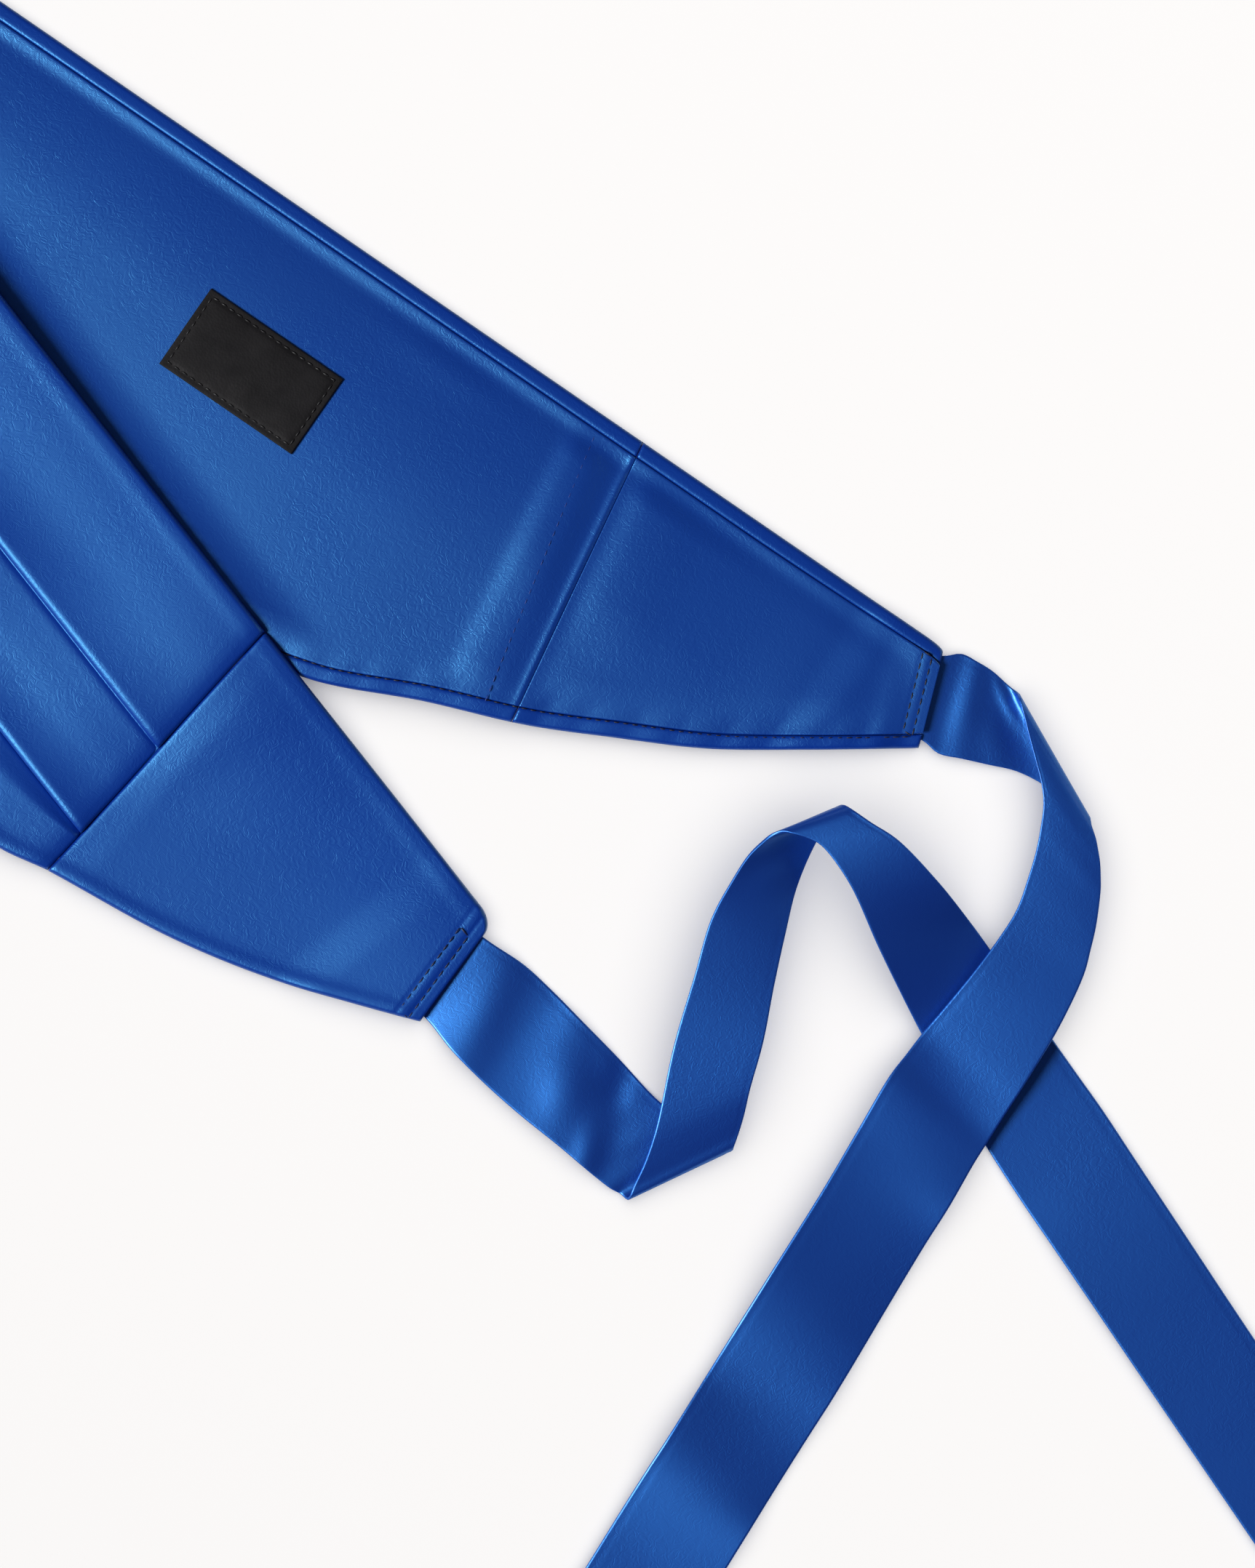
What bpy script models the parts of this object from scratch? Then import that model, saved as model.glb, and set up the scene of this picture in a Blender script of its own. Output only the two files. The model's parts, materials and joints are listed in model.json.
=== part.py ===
"""Tie-on cummerbund of satin, folded once across the middle and laid flat.

The band's far half lies face down, so its lining shows.  The near half lies on it, pleats up.
Origin: on the floor, under the pleat along the straight edge, level with the label's middle.
X runs right, Y runs up the table and Z is up.  Lengths in the tables are millimetres.
"""

import math

import bmesh
import bpy
from mathutils import Vector

MM = 0.001

# Cloth walls, counted as depth from the outer face of the band.
FRONT_WALL = 1.8      # pleated front with its interfacing
LINING_WALL = 1.0
SEAM_GAP = 0.3        # space left between neighbouring pieces
TIE_WALL = 1.0
LABEL_WALL = 1.0
STACK = FRONT_WALL + SEAM_GAP + LINING_WALL
POCKET_RISE = TIE_WALL + SEAM_GAP     # how much the tie's end spreads the tip
RIM = 5.0             # front cloth rolled to the lining side along both edges
RIM_ROUND = 0.8       # rounding of the band's edges

# The fold across the middle of the band.
FOLD_CORNER = (-237.8, 192.0)         # plan point where the fold meets the straight edge
HEADING_UNDER = math.radians(-34.47)  # straight edge of the half lying face down
HEADING_OVER = math.radians(-52.0)    # straight edge of the half lying on top
FOLD_RADIUS = 7.0
RELAX_LENGTH = 430.0                  # the fold's spring dies out over this length
DROP_LENGTH = 60.0                    # the top half slopes down to the floor over this

# Pleats: fold edges measured from the straight edge; each opens away from it.
PLEAT_EDGES = (46.8, 81.3, 116.0)
PLEAT_DEPTH = 0.8
PLEAT_STEP = 0.5

# Seams between the centre and the side panels, on the straight edge, and their slant.
SEAM_UNDER = -414.6
SEAM_OVER = 370.7
SEAM_SLANT = 0.164
# Tips: point on the straight edge, how far its corner is cut back, and the slant.
TIP_UNDER = -524.5
TIP_OVER = 481.6
TIP_SLANT_UNDER = 0.37
TIP_SLANT_OVER = 0.28
TIP_CORNER = 4.0
TIP_ROUND = 6.0
POCKET_LENGTH = 15.0
POCKET_RAMP = 14.0

# Curved edge of the band: along (from the fold corner, minus = half lying face down), width.
CURVED_EDGE = (
    ("along", "width"),
    (-536.0, 28.5),
    (-533.4, 30.5),
    (-508.0, 48.5),
    (-482.6, 65.5),
    (-458.0, 78.4),
    (-433.6, 90.5),
    (-404.0, 102.1),
    (-372.0, 116.0),
    (-320.0, 127.0),
    (-240.0, 131.0),
    (0.0, 131.5),
    (180.0, 130.0),
    (270.0, 125.5),
    (330.0, 116.0),
    (371.9, 103.6),
    (386.4, 96.4),
    (419.1, 82.6),
    (438.6, 72.6),
    (457.0, 61.3),
    (474.0, 49.0),
    (486.5, 39.7),
    (494.0, 34.0),
)

# Soft rises (+) and troughs (-) of the cloth: middle along and across, half sizes, height.
LINING_SWELLS = (
    ("along", "across", "half_length", "half_width", "rise"),
    (-300.0, 62.0, 95.0, 42.0, 1.6),
    (-392.0, 46.0, 16.0, 38.0, 1.0),
    (-440.0, 42.0, 15.0, 34.0, 0.9),
    (-470.0, 34.0, 16.0, 24.0, -0.2),
    (-505.0, 26.0, 14.0, 15.0, 0.6),
)
FRONT_SWELLS = (
    ("along", "across", "half_length", "half_width", "rise"),
    (400.0, 48.0, 16.0, 44.0, 0.9),
    (452.0, 32.0, 20.0, 24.0, 0.6),
    (330.0, 24.0, 60.0, 18.0, 0.4),
)

# Label: middle along and across the band, size.
LABEL_ALONG = -305.6
LABEL_ACROSS = 49.5
LABEL_LENGTH = 48.3
LABEL_WIDTH = 27.5

# Ties, a row per section: both edges of the ribbon, and how far its middle stands proud.
TIE_A = (
    ("ax", "ay", "az", "bx", "by", "bz", "crown"),
    (46.6, -184.5, 1.8, 28.5, -208.9, 1.8, 0.0),      # sewn into the tip
    (55.7, -192.0, 1.8, 37.9, -216.2, 1.8, 0.0),
    (67.9, -200.4, 1.9, 46.4, -226.4, 2.0, 0.0),      # rippled length on the floor
    (76.5, -208.3, 1.7, 56.2, -236.3, 1.5, 0.0),
    (85.0, -216.8, 2.9, 66.1, -245.1, 2.8, 0.0),
    (96.9, -229.1, 2.0, 78.4, -255.0, 2.2, 0.0),
    (108.3, -241.3, 1.0, 89.3, -264.3, 1.1, 0.0),
    (117.0, -247.9, 0.7, 93.9, -267.9, 0.8, 0.0),
    (125.5, -253.2, 1.0, 96.9, -269.6, 0.8, 0.0),     # first fold, an open roll
    (130.4, -256.1, 3.8, 99.0, -271.1, 2.6, 0.0),
    (131.3, -254.5, 5.8, 99.8, -270.2, 3.6, 0.0),
    (132.5, -251.1, 6.8, 101.0, -267.1, 4.4, 0.0),
    (134.2, -245.0, 9.0, 104.2, -260.0, 6.8, 0.0),    # raised stretch
    (135.8, -237.6, 11.2, 107.7, -249.2, 9.8, 0.0),
    (139.8, -222.9, 13.0, 113.1, -223.7, 13.4, 0.0),
    (143.0, -206.3, 12.8, 119.0, -203.6, 14.6, 0.1),
    (146.3, -191.2, 12.0, 124.1, -186.2, 15.6, 0.2),
    (150.1, -176.1, 10.0, 129.8, -175.4, 16.6, 0.2),
    (155.6, -163.5, 8.4, 136.1, -165.9, 17.8, 0.1),
    (160.6, -155.5, 8.0, 141.2, -161.4, 19.0, 0.0),   # second fold, an open roll
    (163.3, -152.3, 16.0, 145.2, -160.1, 20.4, 0.0),
    (165.9, -153.4, 20.2, 148.3, -160.6, 21.0, 0.0),
    (171.8, -157.4, 21.4, 152.8, -161.9, 21.0, 0.1),
    (179.1, -162.1, 21.6, 156.7, -164.1, 21.0, 0.1),
    (191.1, -174.2, 17.2, 164.9, -175.1, 20.4, 0.3),  # comes down to the floor
    (203.0, -188.4, 6.6, 174.6, -195.6, 14.0, 0.4),
    (218.2, -209.4, 1.0, 187.9, -221.3, 2.8, 0.2),
    (227.7, -223.1, 0.8, 197.3, -238.2, 1.0, 0.1),    # flat on the floor to the end
    (235.1, -233.6, 0.8, 207.5, -255.3, 0.8, 0.0),
    (242.4, -243.9, 0.8, 217.7, -271.2, 0.8, 0.0),
    (265.5, -278.9, 1.2, 239.1, -302.6, 0.8, 0.0),
    (288.8, -314.0, 1.0, 260.4, -334.0, 0.6, 0.0),
    (370.9, -434.4, 0.6, 342.4, -454.3, 0.6, 0.0),
)
TIE_B = (
    ("ax", "ay", "az", "bx", "by", "bz", "crown"),
    (182.7, -103.7, 2.6, 176.5, -129.8, 2.6, 0.0),    # sewn into the tip
    (193.9, -107.1, 2.6, 188.0, -132.6, 2.6, 0.0),
    (200.1, -106.5, 2.0, 193.0, -136.6, 2.0, 0.0),    # rippled length
    (204.8, -108.9, 2.1, 200.1, -138.2, 2.2, 0.0),
    (209.1, -111.5, 1.8, 207.7, -139.9, 1.5, 0.0),
    (212.9, -114.8, 1.7, 216.8, -142.0, 0.9, 0.0),
    (215.5, -117.2, 2.3, 225.3, -146.3, 0.8, 0.0),    # passes under its own fold
    (216.6, -118.4, 3.6, 233.8, -152.9, 1.4, 0.0),
    (216.7, -118.9, 6.0, 238.2, -156.2, 4.2, 0.0),    # fold, an open roll
    (216.7, -120.2, 8.6, 238.0, -156.9, 7.6, 0.0),
    (217.8, -124.6, 9.1, 238.6, -159.2, 8.2, 0.0),
    (219.7, -132.2, 9.4, 239.8, -162.5, 8.4, 0.1),    # raised loop
    (221.5, -138.8, 9.5, 240.5, -166.1, 8.5, 0.2),
    (223.2, -145.3, 9.5, 241.0, -169.3, 8.5, 0.3),
    (223.9, -151.5, 9.4, 241.2, -173.1, 8.4, 0.3),
    (223.2, -158.0, 9.2, 241.2, -177.4, 8.4, 0.3),
    (221.8, -165.6, 8.9, 240.7, -182.5, 8.3, 0.2),
    (219.5, -173.6, 8.6, 239.8, -188.7, 8.2, 0.2),
    (216.0, -183.5, 8.2, 238.2, -195.7, 8.1, 0.1),
    (211.1, -191.5, 7.9, 236.3, -202.9, 7.9, 0.0),    # over the other tie
    (203.3, -202.1, 7.5, 228.9, -218.7, 7.8, 0.0),
    (194.5, -213.0, 6.4, 218.3, -236.5, 7.1, 0.0),
    (187.7, -221.1, 5.9, 212.4, -245.8, 6.4, 0.0),
    (182.9, -227.2, 6.3, 208.0, -252.9, 6.6, 0.0),
    (178.0, -233.3, 7.2, 203.6, -259.7, 7.3, 0.0),
    (168.1, -250.2, 7.2, 195.9, -273.1, 7.0, 0.0),
    (157.5, -268.2, 6.9, 188.5, -285.3, 5.5, 0.0),    # waves down to the floor
    (143.4, -290.7, 6.0, 174.6, -308.9, 4.1, 0.0),
    (137.2, -300.9, 5.0, 168.4, -319.2, 3.8, 0.0),
    (129.5, -313.6, 3.8, 160.7, -331.8, 4.3, 0.0),
    (123.6, -323.1, 3.2, 154.8, -341.2, 4.0, 0.0),
    (116.2, -334.7, 4.2, 147.4, -353.1, 3.3, 0.0),
    (110.9, -343.1, 4.3, 142.1, -361.5, 3.4, 0.0),
    (104.5, -353.3, 3.4, 135.7, -371.5, 3.8, 0.0),
    (97.1, -365.2, 2.4, 128.4, -383.5, 3.0, 0.0),
    (86.2, -382.8, 0.9, 117.5, -401.2, 1.2, 0.0),
    (86.2, -382.9, 0.8, 117.5, -401.3, 0.8, 0.0),
    (-31.9, -570.0, 0.6, -0.6, -588.4, 0.6, 0.0),
)
TIE_SUBSTEPS = 2
TIE_COLUMNS = 4

SATIN_BLUE = (0.012, 0.072, 0.33)
LINING_BLUE = (0.013, 0.075, 0.34)
LABEL_BLACK = (0.016, 0.015, 0.018)


def rows(table):
    """Drop the heading row of a table."""
    return table[1:]


def soft(x):
    """Smooth step from 0 to 1."""
    x = min(1.0, max(0.0, x))
    return x * x * (3.0 - 2.0 * x)


def mix(a, b, x):
    return a + (b - a) * x


def spline(points, x):
    """Pass a smooth curve through a table of (x, y) and read it at x."""
    if x <= points[0][0]:
        return points[0][1]
    if x >= points[-1][0]:
        return points[-1][1]
    i = max(k for k in range(len(points) - 1) if points[k][0] <= x)

    def slope(k):
        lo, hi = max(k - 1, 0), min(k + 1, len(points) - 1)
        return (points[hi][1] - points[lo][1]) / (points[hi][0] - points[lo][0])

    (x0, y0), (x1, y1) = points[i], points[i + 1]
    h = x1 - x0
    u = (x - x0) / h
    return (
        (2 * u**3 - 3 * u**2 + 1) * y0
        + (u**3 - 2 * u**2 + u) * h * slope(i)
        + (3 * u**2 - 2 * u**3) * y1
        + (u**3 - u**2) * h * slope(i + 1)
    )


def curved_edge(along):
    return spline(rows(CURVED_EDGE), along)


def swell(table, along, across):
    """Height of the soft rises at a point of the band."""
    height = 0.0
    for mid, side, half_length, half_width, rise in rows(table):
        d = math.hypot((along - mid) / half_length, (across - side) / half_width)
        height += rise * (1.0 - soft(d / 1.6))
    return height


HALF_TURN = (HEADING_UNDER - HEADING_OVER) / 2.0
BISECTOR = (HEADING_UNDER + HEADING_OVER) / 2.0
FOLD_SLANT = math.tan(HALF_TURN)


def plan(heading, along, across):
    """Plan point of a half: along its straight edge, then across towards the curved edge."""
    x, y = FOLD_CORNER
    c, s = math.cos(heading), math.sin(heading)
    return x + c * along + s * across, y + s * along - c * across


def under_coordinates(x, y):
    """Along and across of a plan point, in the half lying face down."""
    dx, dy = x - FOLD_CORNER[0], y - FOLD_CORNER[1]
    c, s = math.cos(HEADING_UNDER), math.sin(HEADING_UNDER)
    return c * dx + s * dy, s * dx - c * dy


def pocket(along):
    """How far the tie's end spreads front and lining apart, 0 to 1."""
    if along < 0:
        inside = (TIP_UNDER + POCKET_LENGTH + POCKET_RAMP) - along
    else:
        inside = along - (TIP_OVER - POCKET_LENGTH - POCKET_RAMP)
    return soft(inside / POCKET_RAMP)


def underside(along, across):
    """Height of the top half's underside at a point of the band."""
    x, y = plan(HEADING_OVER, along, across)
    u, v = under_coordinates(x, y)
    outside = v - curved_edge(-u)
    rest = (STACK + SEAM_GAP) * (1.0 - soft(outside / DROP_LENGTH))
    if -u < TIP_UNDER + 60.0:
        rest = 0.0
    reach = along * math.cos(HALF_TURN) - across * math.sin(HALF_TURN)
    spring = 2.0 * FOLD_RADIUS - 2.0 * STACK - SEAM_GAP
    return rest + spring * (1.0 - soft(reach / RELAX_LENGTH))


class Station:
    """A line across the band, from the straight edge to the curved one."""

    def __init__(self, start, slant, turn=None):
        self.start, self.slant, self.turn = start, slant, turn
        self.over = start > 0 or (start == 0 and turn is not None and turn > 0)
        width = 120.0
        for _ in range(12):
            width = curved_edge(self.along(width))
        self.width = width

    def along(self, across):
        return self.start + self.slant * across

    def place(self, across, depth):
        """Point at a depth below the band's outer face."""
        if self.turn is not None:
            r = FOLD_RADIUS - depth
            span = across / math.cos(HALF_TURN)
            b = -r * math.cos(self.turn)
            x = FOLD_CORNER[0] + math.sin(BISECTOR) * span + math.cos(BISECTOR) * b
            y = FOLD_CORNER[1] - math.cos(BISECTOR) * span + math.sin(BISECTOR) * b
            return Vector((x, y, FOLD_RADIUS + r * math.sin(self.turn)))
        along = self.along(across)
        if not self.over:
            x, y = plan(HEADING_UNDER, -along, across)
            return Vector((x, y, depth))
        x, y = plan(HEADING_OVER, along, across)
        top = underside(along, across) + STACK + POCKET_RISE * pocket(along)
        return Vector((x, y, top - depth))


def stations(start, end, count, slant_start, slant_end):
    """Lines evenly spaced between two seams of one half."""
    out = []
    for i in range(count + 1):
        u = i / count
        out.append(Station(mix(start, end, u), mix(slant_start, slant_end, u)))
    return out


def centre_stations(trim):
    """The centre runs from seam to seam, round the fold."""
    under = stations(SEAM_UNDER + trim, -6.0, 13, -SEAM_SLANT, FOLD_SLANT)
    bend = [Station(0.0, FOLD_SLANT, math.radians(a)) for a in range(-90, 91, 20)]
    over = stations(6.0, SEAM_OVER - trim, 16, FOLD_SLANT, SEAM_SLANT)
    return under + bend + over


def side_stations(seam, tip, slant, trim):
    sign = 1.0 if tip > 0 else -1.0
    start = seam + sign * trim
    body = stations(start, tip - sign * 9.0, 9, sign * SEAM_SLANT, sign * slant)
    ends = [Station(tip - sign * left, sign * slant) for left in (6.0, 3.5, 1.6, 0.6, 0.0)]
    return body + ends


def corner_cut(along):
    """How far the straight edge's corner is cut back at a tip."""
    tip = TIP_OVER if along > 0 else TIP_UNDER
    left = min(1.0, (abs(tip) - abs(along)) / TIP_ROUND)
    deep = TIP_CORNER if along > 0 else TIP_CORNER * 0.25
    return deep * (1.0 - math.sqrt(max(0.0, 1.0 - (1.0 - left) ** 2)))


def rim_width(along):
    """The rolled rim runs out where the tie's end is sewn in."""
    return mix(RIM, 0.5, pocket(along))


def pleat_columns(station):
    """Across-positions with the depth of the outer face, pleats included."""
    width = station.width
    out = []
    for k, edge in enumerate(PLEAT_EDGES):
        room = width - RIM - 6.0 - edge
        lost = soft(-room / 10.0)
        at = min(edge, width - RIM - 6.0 - (len(PLEAT_EDGES) - 1 - k) * 2.0)
        deep = PLEAT_DEPTH * (1.0 - lost)
        out.append((at, 0.0))
        out.append((at + PLEAT_STEP, deep))
        ahead = PLEAT_EDGES[k + 1] if k + 1 < len(PLEAT_EDGES) else width - RIM
        ahead = min(ahead, width - RIM - 5.0)
        out.append((mix(at + PLEAT_STEP, max(ahead, at + 1.0), 0.5), deep * 0.5))
    return out


def sheet(name, grid_outer, grid_inner, colour, roughness, smooth=False):
    """Close two matching grids of points into one walled solid."""
    mesh = bmesh.new()
    count, across = len(grid_outer), len(grid_outer[0])
    verts = [
        [[mesh.verts.new(p * MM) for p in row] for row in grid]
        for grid in (grid_outer, grid_inner)
    ]
    outer, inner = verts
    for i in range(count - 1):
        for j in range(across - 1):
            mesh.faces.new(
                (outer[i][j], outer[i][j + 1], outer[i + 1][j + 1], outer[i + 1][j])
            )
            mesh.faces.new(
                (inner[i][j], inner[i + 1][j], inner[i + 1][j + 1], inner[i][j + 1])
            )
    loop = (
        [(i, 0) for i in range(count)]
        + [(count - 1, j) for j in range(1, across)]
        + [(i, across - 1) for i in range(count - 2, -1, -1)]
        + [(0, j) for j in range(across - 2, 0, -1)]
    )
    for (i0, j0), (i1, j1) in zip(loop, loop[1:] + loop[:1]):
        mesh.faces.new((outer[i0][j0], outer[i1][j1], inner[i1][j1], inner[i0][j0]))
    bmesh.ops.recalc_face_normals(mesh, faces=mesh.faces)
    bmesh.ops.triangulate(mesh, faces=mesh.faces)
    if mesh.calc_volume(signed=True) < 0:
        bmesh.ops.reverse_faces(mesh, faces=mesh.faces)
    data = bpy.data.meshes.new(name)
    mesh.to_mesh(data)
    mesh.free()
    if smooth:
        data.polygons.foreach_set("use_smooth", [True] * len(data.polygons))
    part = bpy.data.objects.new(name, data)
    bpy.context.scene.collection.objects.link(part)
    material = bpy.data.materials.new(name + "_cloth")
    material.use_nodes = True
    shader = material.node_tree.nodes["Principled BSDF"]
    shader.inputs["Base Color"].default_value = (*colour, 1.0)
    shader.inputs["Roughness"].default_value = roughness
    shader.inputs["Metallic"].default_value = 0.0
    data.materials.append(material)
    return part


def front_grid(lines, pleated):
    """Outer and inner face of a front piece, its rims rolled to the lining side."""
    outer, inner = [], []
    for line in lines:
        width = line.width
        cut = corner_cut(line.start) if line.turn is None else 0.0
        rim = RIM if line.turn is not None else rim_width(line.start)
        far_rim = RIM if line.turn is not None else rim_width(line.along(width))
        step, far_step = min(0.2, rim * 0.3), min(0.2, far_rim * 0.3)
        columns = [(cut, RIM_ROUND, -RIM_ROUND), (cut + min(RIM_ROUND, rim * 0.4), 0.0, 0.0)]
        columns += [(cut + rim - step, 0.0, 0.0), (cut + rim, 0.0, None)]
        if pleated:
            columns.append((PLEAT_EDGES[0] * 0.5, 0.0, None))
            columns += [(t, d, None) for t, d in pleat_columns(line)]
        else:
            lo, hi = cut + rim, width - far_rim
            columns += [(mix(lo, hi, k / 6.0), 0.0, None) for k in range(1, 6)]
        columns += [(width - far_rim, 0.0, None), (width - far_rim + far_step, 0.0, 0.0)]
        columns += [(width - min(RIM_ROUND, far_rim * 0.4), 0.0, 0.0)]
        columns += [(width, RIM_ROUND, -RIM_ROUND)]
        row_out, row_in = [], []
        for across, deep, rolled in columns:
            along = line.along(across)
            stack = STACK + (POCKET_RISE * pocket(along) if line.turn is None else 0.0)
            rise = swell(FRONT_SWELLS, along, across) if line.over and line.turn is None else 0
            row_out.append(line.place(across, deep - rise))
            depth = FRONT_WALL - rise if rolled is None else stack + rolled
            row_in.append(line.place(across, depth))
        outer.append(row_out)
        inner.append(row_in)
    return outer, inner


def lining_depths(line, across):
    """Depths of the lining's hidden and showing faces."""
    along = line.along(across)
    add = POCKET_RISE * pocket(along) if line.turn is None else 0.0
    rise = 0.0
    if line.turn is None and not line.over:
        edge = min(across - RIM, line.width - RIM - across)
        rise = swell(LINING_SWELLS, along, across) * soft(edge / 10.0)
    near = FRONT_WALL + SEAM_GAP + add + rise
    return near, near + LINING_WALL


def lining_grid(lines, count):
    outer, inner = [], []
    for line in lines:
        turn = line.turn is not None
        cut = 0.0 if turn else corner_cut(line.start)
        lo = cut + (RIM if turn else rim_width(line.start)) + SEAM_GAP
        width = line.width
        hi = width - (RIM if turn else rim_width(line.along(width))) - SEAM_GAP
        row_out, row_in = [], []
        for k in range(count + 1):
            across = mix(lo, hi, k / count)
            near, far = lining_depths(line, across)
            row_out.append(line.place(across, near))
            row_in.append(line.place(across, far))
        outer.append(row_out)
        inner.append(row_in)
    return outer, inner


def label_grid():
    """A patch made from the lining's points, moved out."""
    lower, upper = [], []
    for i in range(7):
        u = LABEL_ALONG + LABEL_LENGTH * (i / 6.0 - 0.5)
        line = Station(u, 0.0)
        row_lo, row_up = [], []
        for j in range(5):
            v = LABEL_ACROSS + LABEL_WIDTH * (j / 4.0 - 0.5)
            top = lining_depths(line, v)[1]
            row_lo.append(line.place(v, top + SEAM_GAP))
            row_up.append(line.place(v, top + SEAM_GAP + LABEL_WALL))
        lower.append(row_lo)
        upper.append(row_up)
    return lower, upper


def through(points, i, u):
    """Smooth curve through neighbouring points."""
    p0, p1 = points[max(i - 1, 0)], points[i]
    p2, p3 = points[min(i + 1, len(points) - 1)], points[min(i + 2, len(points) - 1)]
    d1 = max((p1 - p0).length, 1e-6) ** 0.5
    d2 = max((p2 - p1).length, 1e-6) ** 0.5
    d3 = max((p3 - p2).length, 1e-6) ** 0.5
    m1 = p2 - p1 if i == 0 else ((p1 - p0) / d1 - (p2 - p0) / (d1 + d2) + (p2 - p1) / d2) * d2
    m2 = (
        p2 - p1
        if i + 2 > len(points) - 1
        else ((p2 - p1) / d2 - (p3 - p1) / (d2 + d3) + (p3 - p2) / d3) * d2
    )
    a, b = 2 * u**3 - 3 * u**2 + 1, u**3 - 2 * u**2 + u
    return a * p1 + b * m1 + (1 - a) * p2 + (u**3 - u**2) * m2


def tie_grid(table, wall):
    """Both faces of a ribbon whose edges pass through the table's sections."""
    first = [Vector(r[:3]) for r in rows(table)]
    second = [Vector(r[3:6]) for r in rows(table)]
    crowns = [r[6] for r in rows(table)]
    edges = []
    for i in range(len(first) - 1):
        for k in range(TIE_SUBSTEPS):
            u = k / TIE_SUBSTEPS
            crown = mix(crowns[i], crowns[i + 1], soft(u))
            edges.append((through(first, i, u), through(second, i, u), crown))
    edges.append((first[-1], second[-1], 0.0))
    for a, b, _ in edges:
        a.z, b.z = max(a.z, wall * 0.55), max(b.z, wall * 0.55)
    middle = [[a.lerp(b, j / TIE_COLUMNS) for j in range(TIE_COLUMNS + 1)] for a, b, _ in edges]
    upper, lower = [], []
    for i, row in enumerate(middle):
        up_row, low_row = [], []
        for j, p in enumerate(row):
            ahead = middle[min(i + 1, len(middle) - 1)][j] - middle[max(i - 1, 0)][j]
            side = row[min(j + 1, TIE_COLUMNS)] - row[max(j - 1, 0)]
            normal = ahead.cross(side).normalized()
            v = j / TIE_COLUMNS
            upward = max(-1.0, min(1.0, 2.0 * normal.z))
            p = p + normal * (edges[i][2] * upward * 4.0 * v * (1.0 - v))
            up_row.append(p + normal * (wall / 2.0))
            low_row.append(p - normal * (wall / 2.0))
        upper.append(up_row)
        lower.append(low_row)
    return upper, lower


def build():
    for old in list(bpy.data.objects):
        bpy.data.objects.remove(old, do_unlink=True)
    half_gap = SEAM_GAP / 2.0
    centre = centre_stations(half_gap)
    side_a = side_stations(SEAM_OVER, TIP_OVER, TIP_SLANT_OVER, half_gap)
    side_b = side_stations(SEAM_UNDER, TIP_UNDER, TIP_SLANT_UNDER, half_gap)
    sheet("front_center", *front_grid(centre, True), SATIN_BLUE, 0.38)
    sheet("front_side_a", *front_grid(side_a, False), SATIN_BLUE, 0.38)
    sheet("front_side_b", *front_grid(side_b, False), SATIN_BLUE, 0.38)
    sheet("lining_center", *lining_grid(centre, 12), LINING_BLUE, 0.42)
    sheet("lining_side_a", *lining_grid(side_a, 6), LINING_BLUE, 0.42)
    sheet("lining_side_b", *lining_grid(side_b, 6), LINING_BLUE, 0.42)
    sheet("tie_a", *tie_grid(TIE_A, TIE_WALL), SATIN_BLUE, 0.36, True)
    sheet("tie_b", *tie_grid(TIE_B, TIE_WALL), SATIN_BLUE, 0.36, True)
    sheet("label", *label_grid(), LABEL_BLACK, 0.6)


build()
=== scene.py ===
"""Dressed model of a tie-on satin cummerbund, folded once across the middle and laid flat.

The far half lies face down, so its lining and label show.  The near half lies on it with its
pleats up.  A tie leaves each tip.  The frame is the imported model's: on the floor, X right, Y up
the table, Z up.  The garment's sizes are in millimetres, its meshes and the studio in metres.
"""

import json
import logging
import math
from dataclasses import dataclass
from enum import Enum
from typing import ClassVar, Sequence

import bpy
import numpy as np
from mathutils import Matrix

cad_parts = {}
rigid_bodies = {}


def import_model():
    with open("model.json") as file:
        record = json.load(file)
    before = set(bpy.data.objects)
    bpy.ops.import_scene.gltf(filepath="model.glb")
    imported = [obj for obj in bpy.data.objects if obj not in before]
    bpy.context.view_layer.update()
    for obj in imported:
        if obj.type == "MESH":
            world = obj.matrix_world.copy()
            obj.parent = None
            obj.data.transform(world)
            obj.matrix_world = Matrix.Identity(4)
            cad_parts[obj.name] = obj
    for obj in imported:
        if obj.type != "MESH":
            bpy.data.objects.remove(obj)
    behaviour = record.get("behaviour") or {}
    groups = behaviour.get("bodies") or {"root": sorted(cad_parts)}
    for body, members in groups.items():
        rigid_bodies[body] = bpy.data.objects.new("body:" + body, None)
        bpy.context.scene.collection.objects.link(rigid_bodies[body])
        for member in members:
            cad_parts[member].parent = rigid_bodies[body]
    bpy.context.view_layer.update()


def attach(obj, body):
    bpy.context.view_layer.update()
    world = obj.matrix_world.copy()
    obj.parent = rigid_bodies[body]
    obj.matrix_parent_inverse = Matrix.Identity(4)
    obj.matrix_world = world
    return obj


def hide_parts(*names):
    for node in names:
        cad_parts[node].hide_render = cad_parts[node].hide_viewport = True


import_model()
LOG = logging.getLogger("cummerbund")

MM = 0.001
ABOVE_FLOOR = 0.02
TINY = 1e-9
Array = np.ndarray
Colour = tuple[float, float, float]


# ---------------------------------------------------------------- small shape helpers


def soft(x: Array | float) -> Array:
    """Smooth step from 0 to 1."""
    x = np.clip(x, 0.0, 1.0)
    return x * x * (3.0 - 2.0 * x)


def mix(a: Array | float, b: Array | float, x: Array | float) -> Array:
    """Blend from a (x = 0) to b (x = 1)."""
    return a + (b - a) * x


def ridge(x: Array | float) -> Array:
    """Bell-shaped crest of height 1 and half width 1."""
    return np.exp(-np.square(x))


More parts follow.
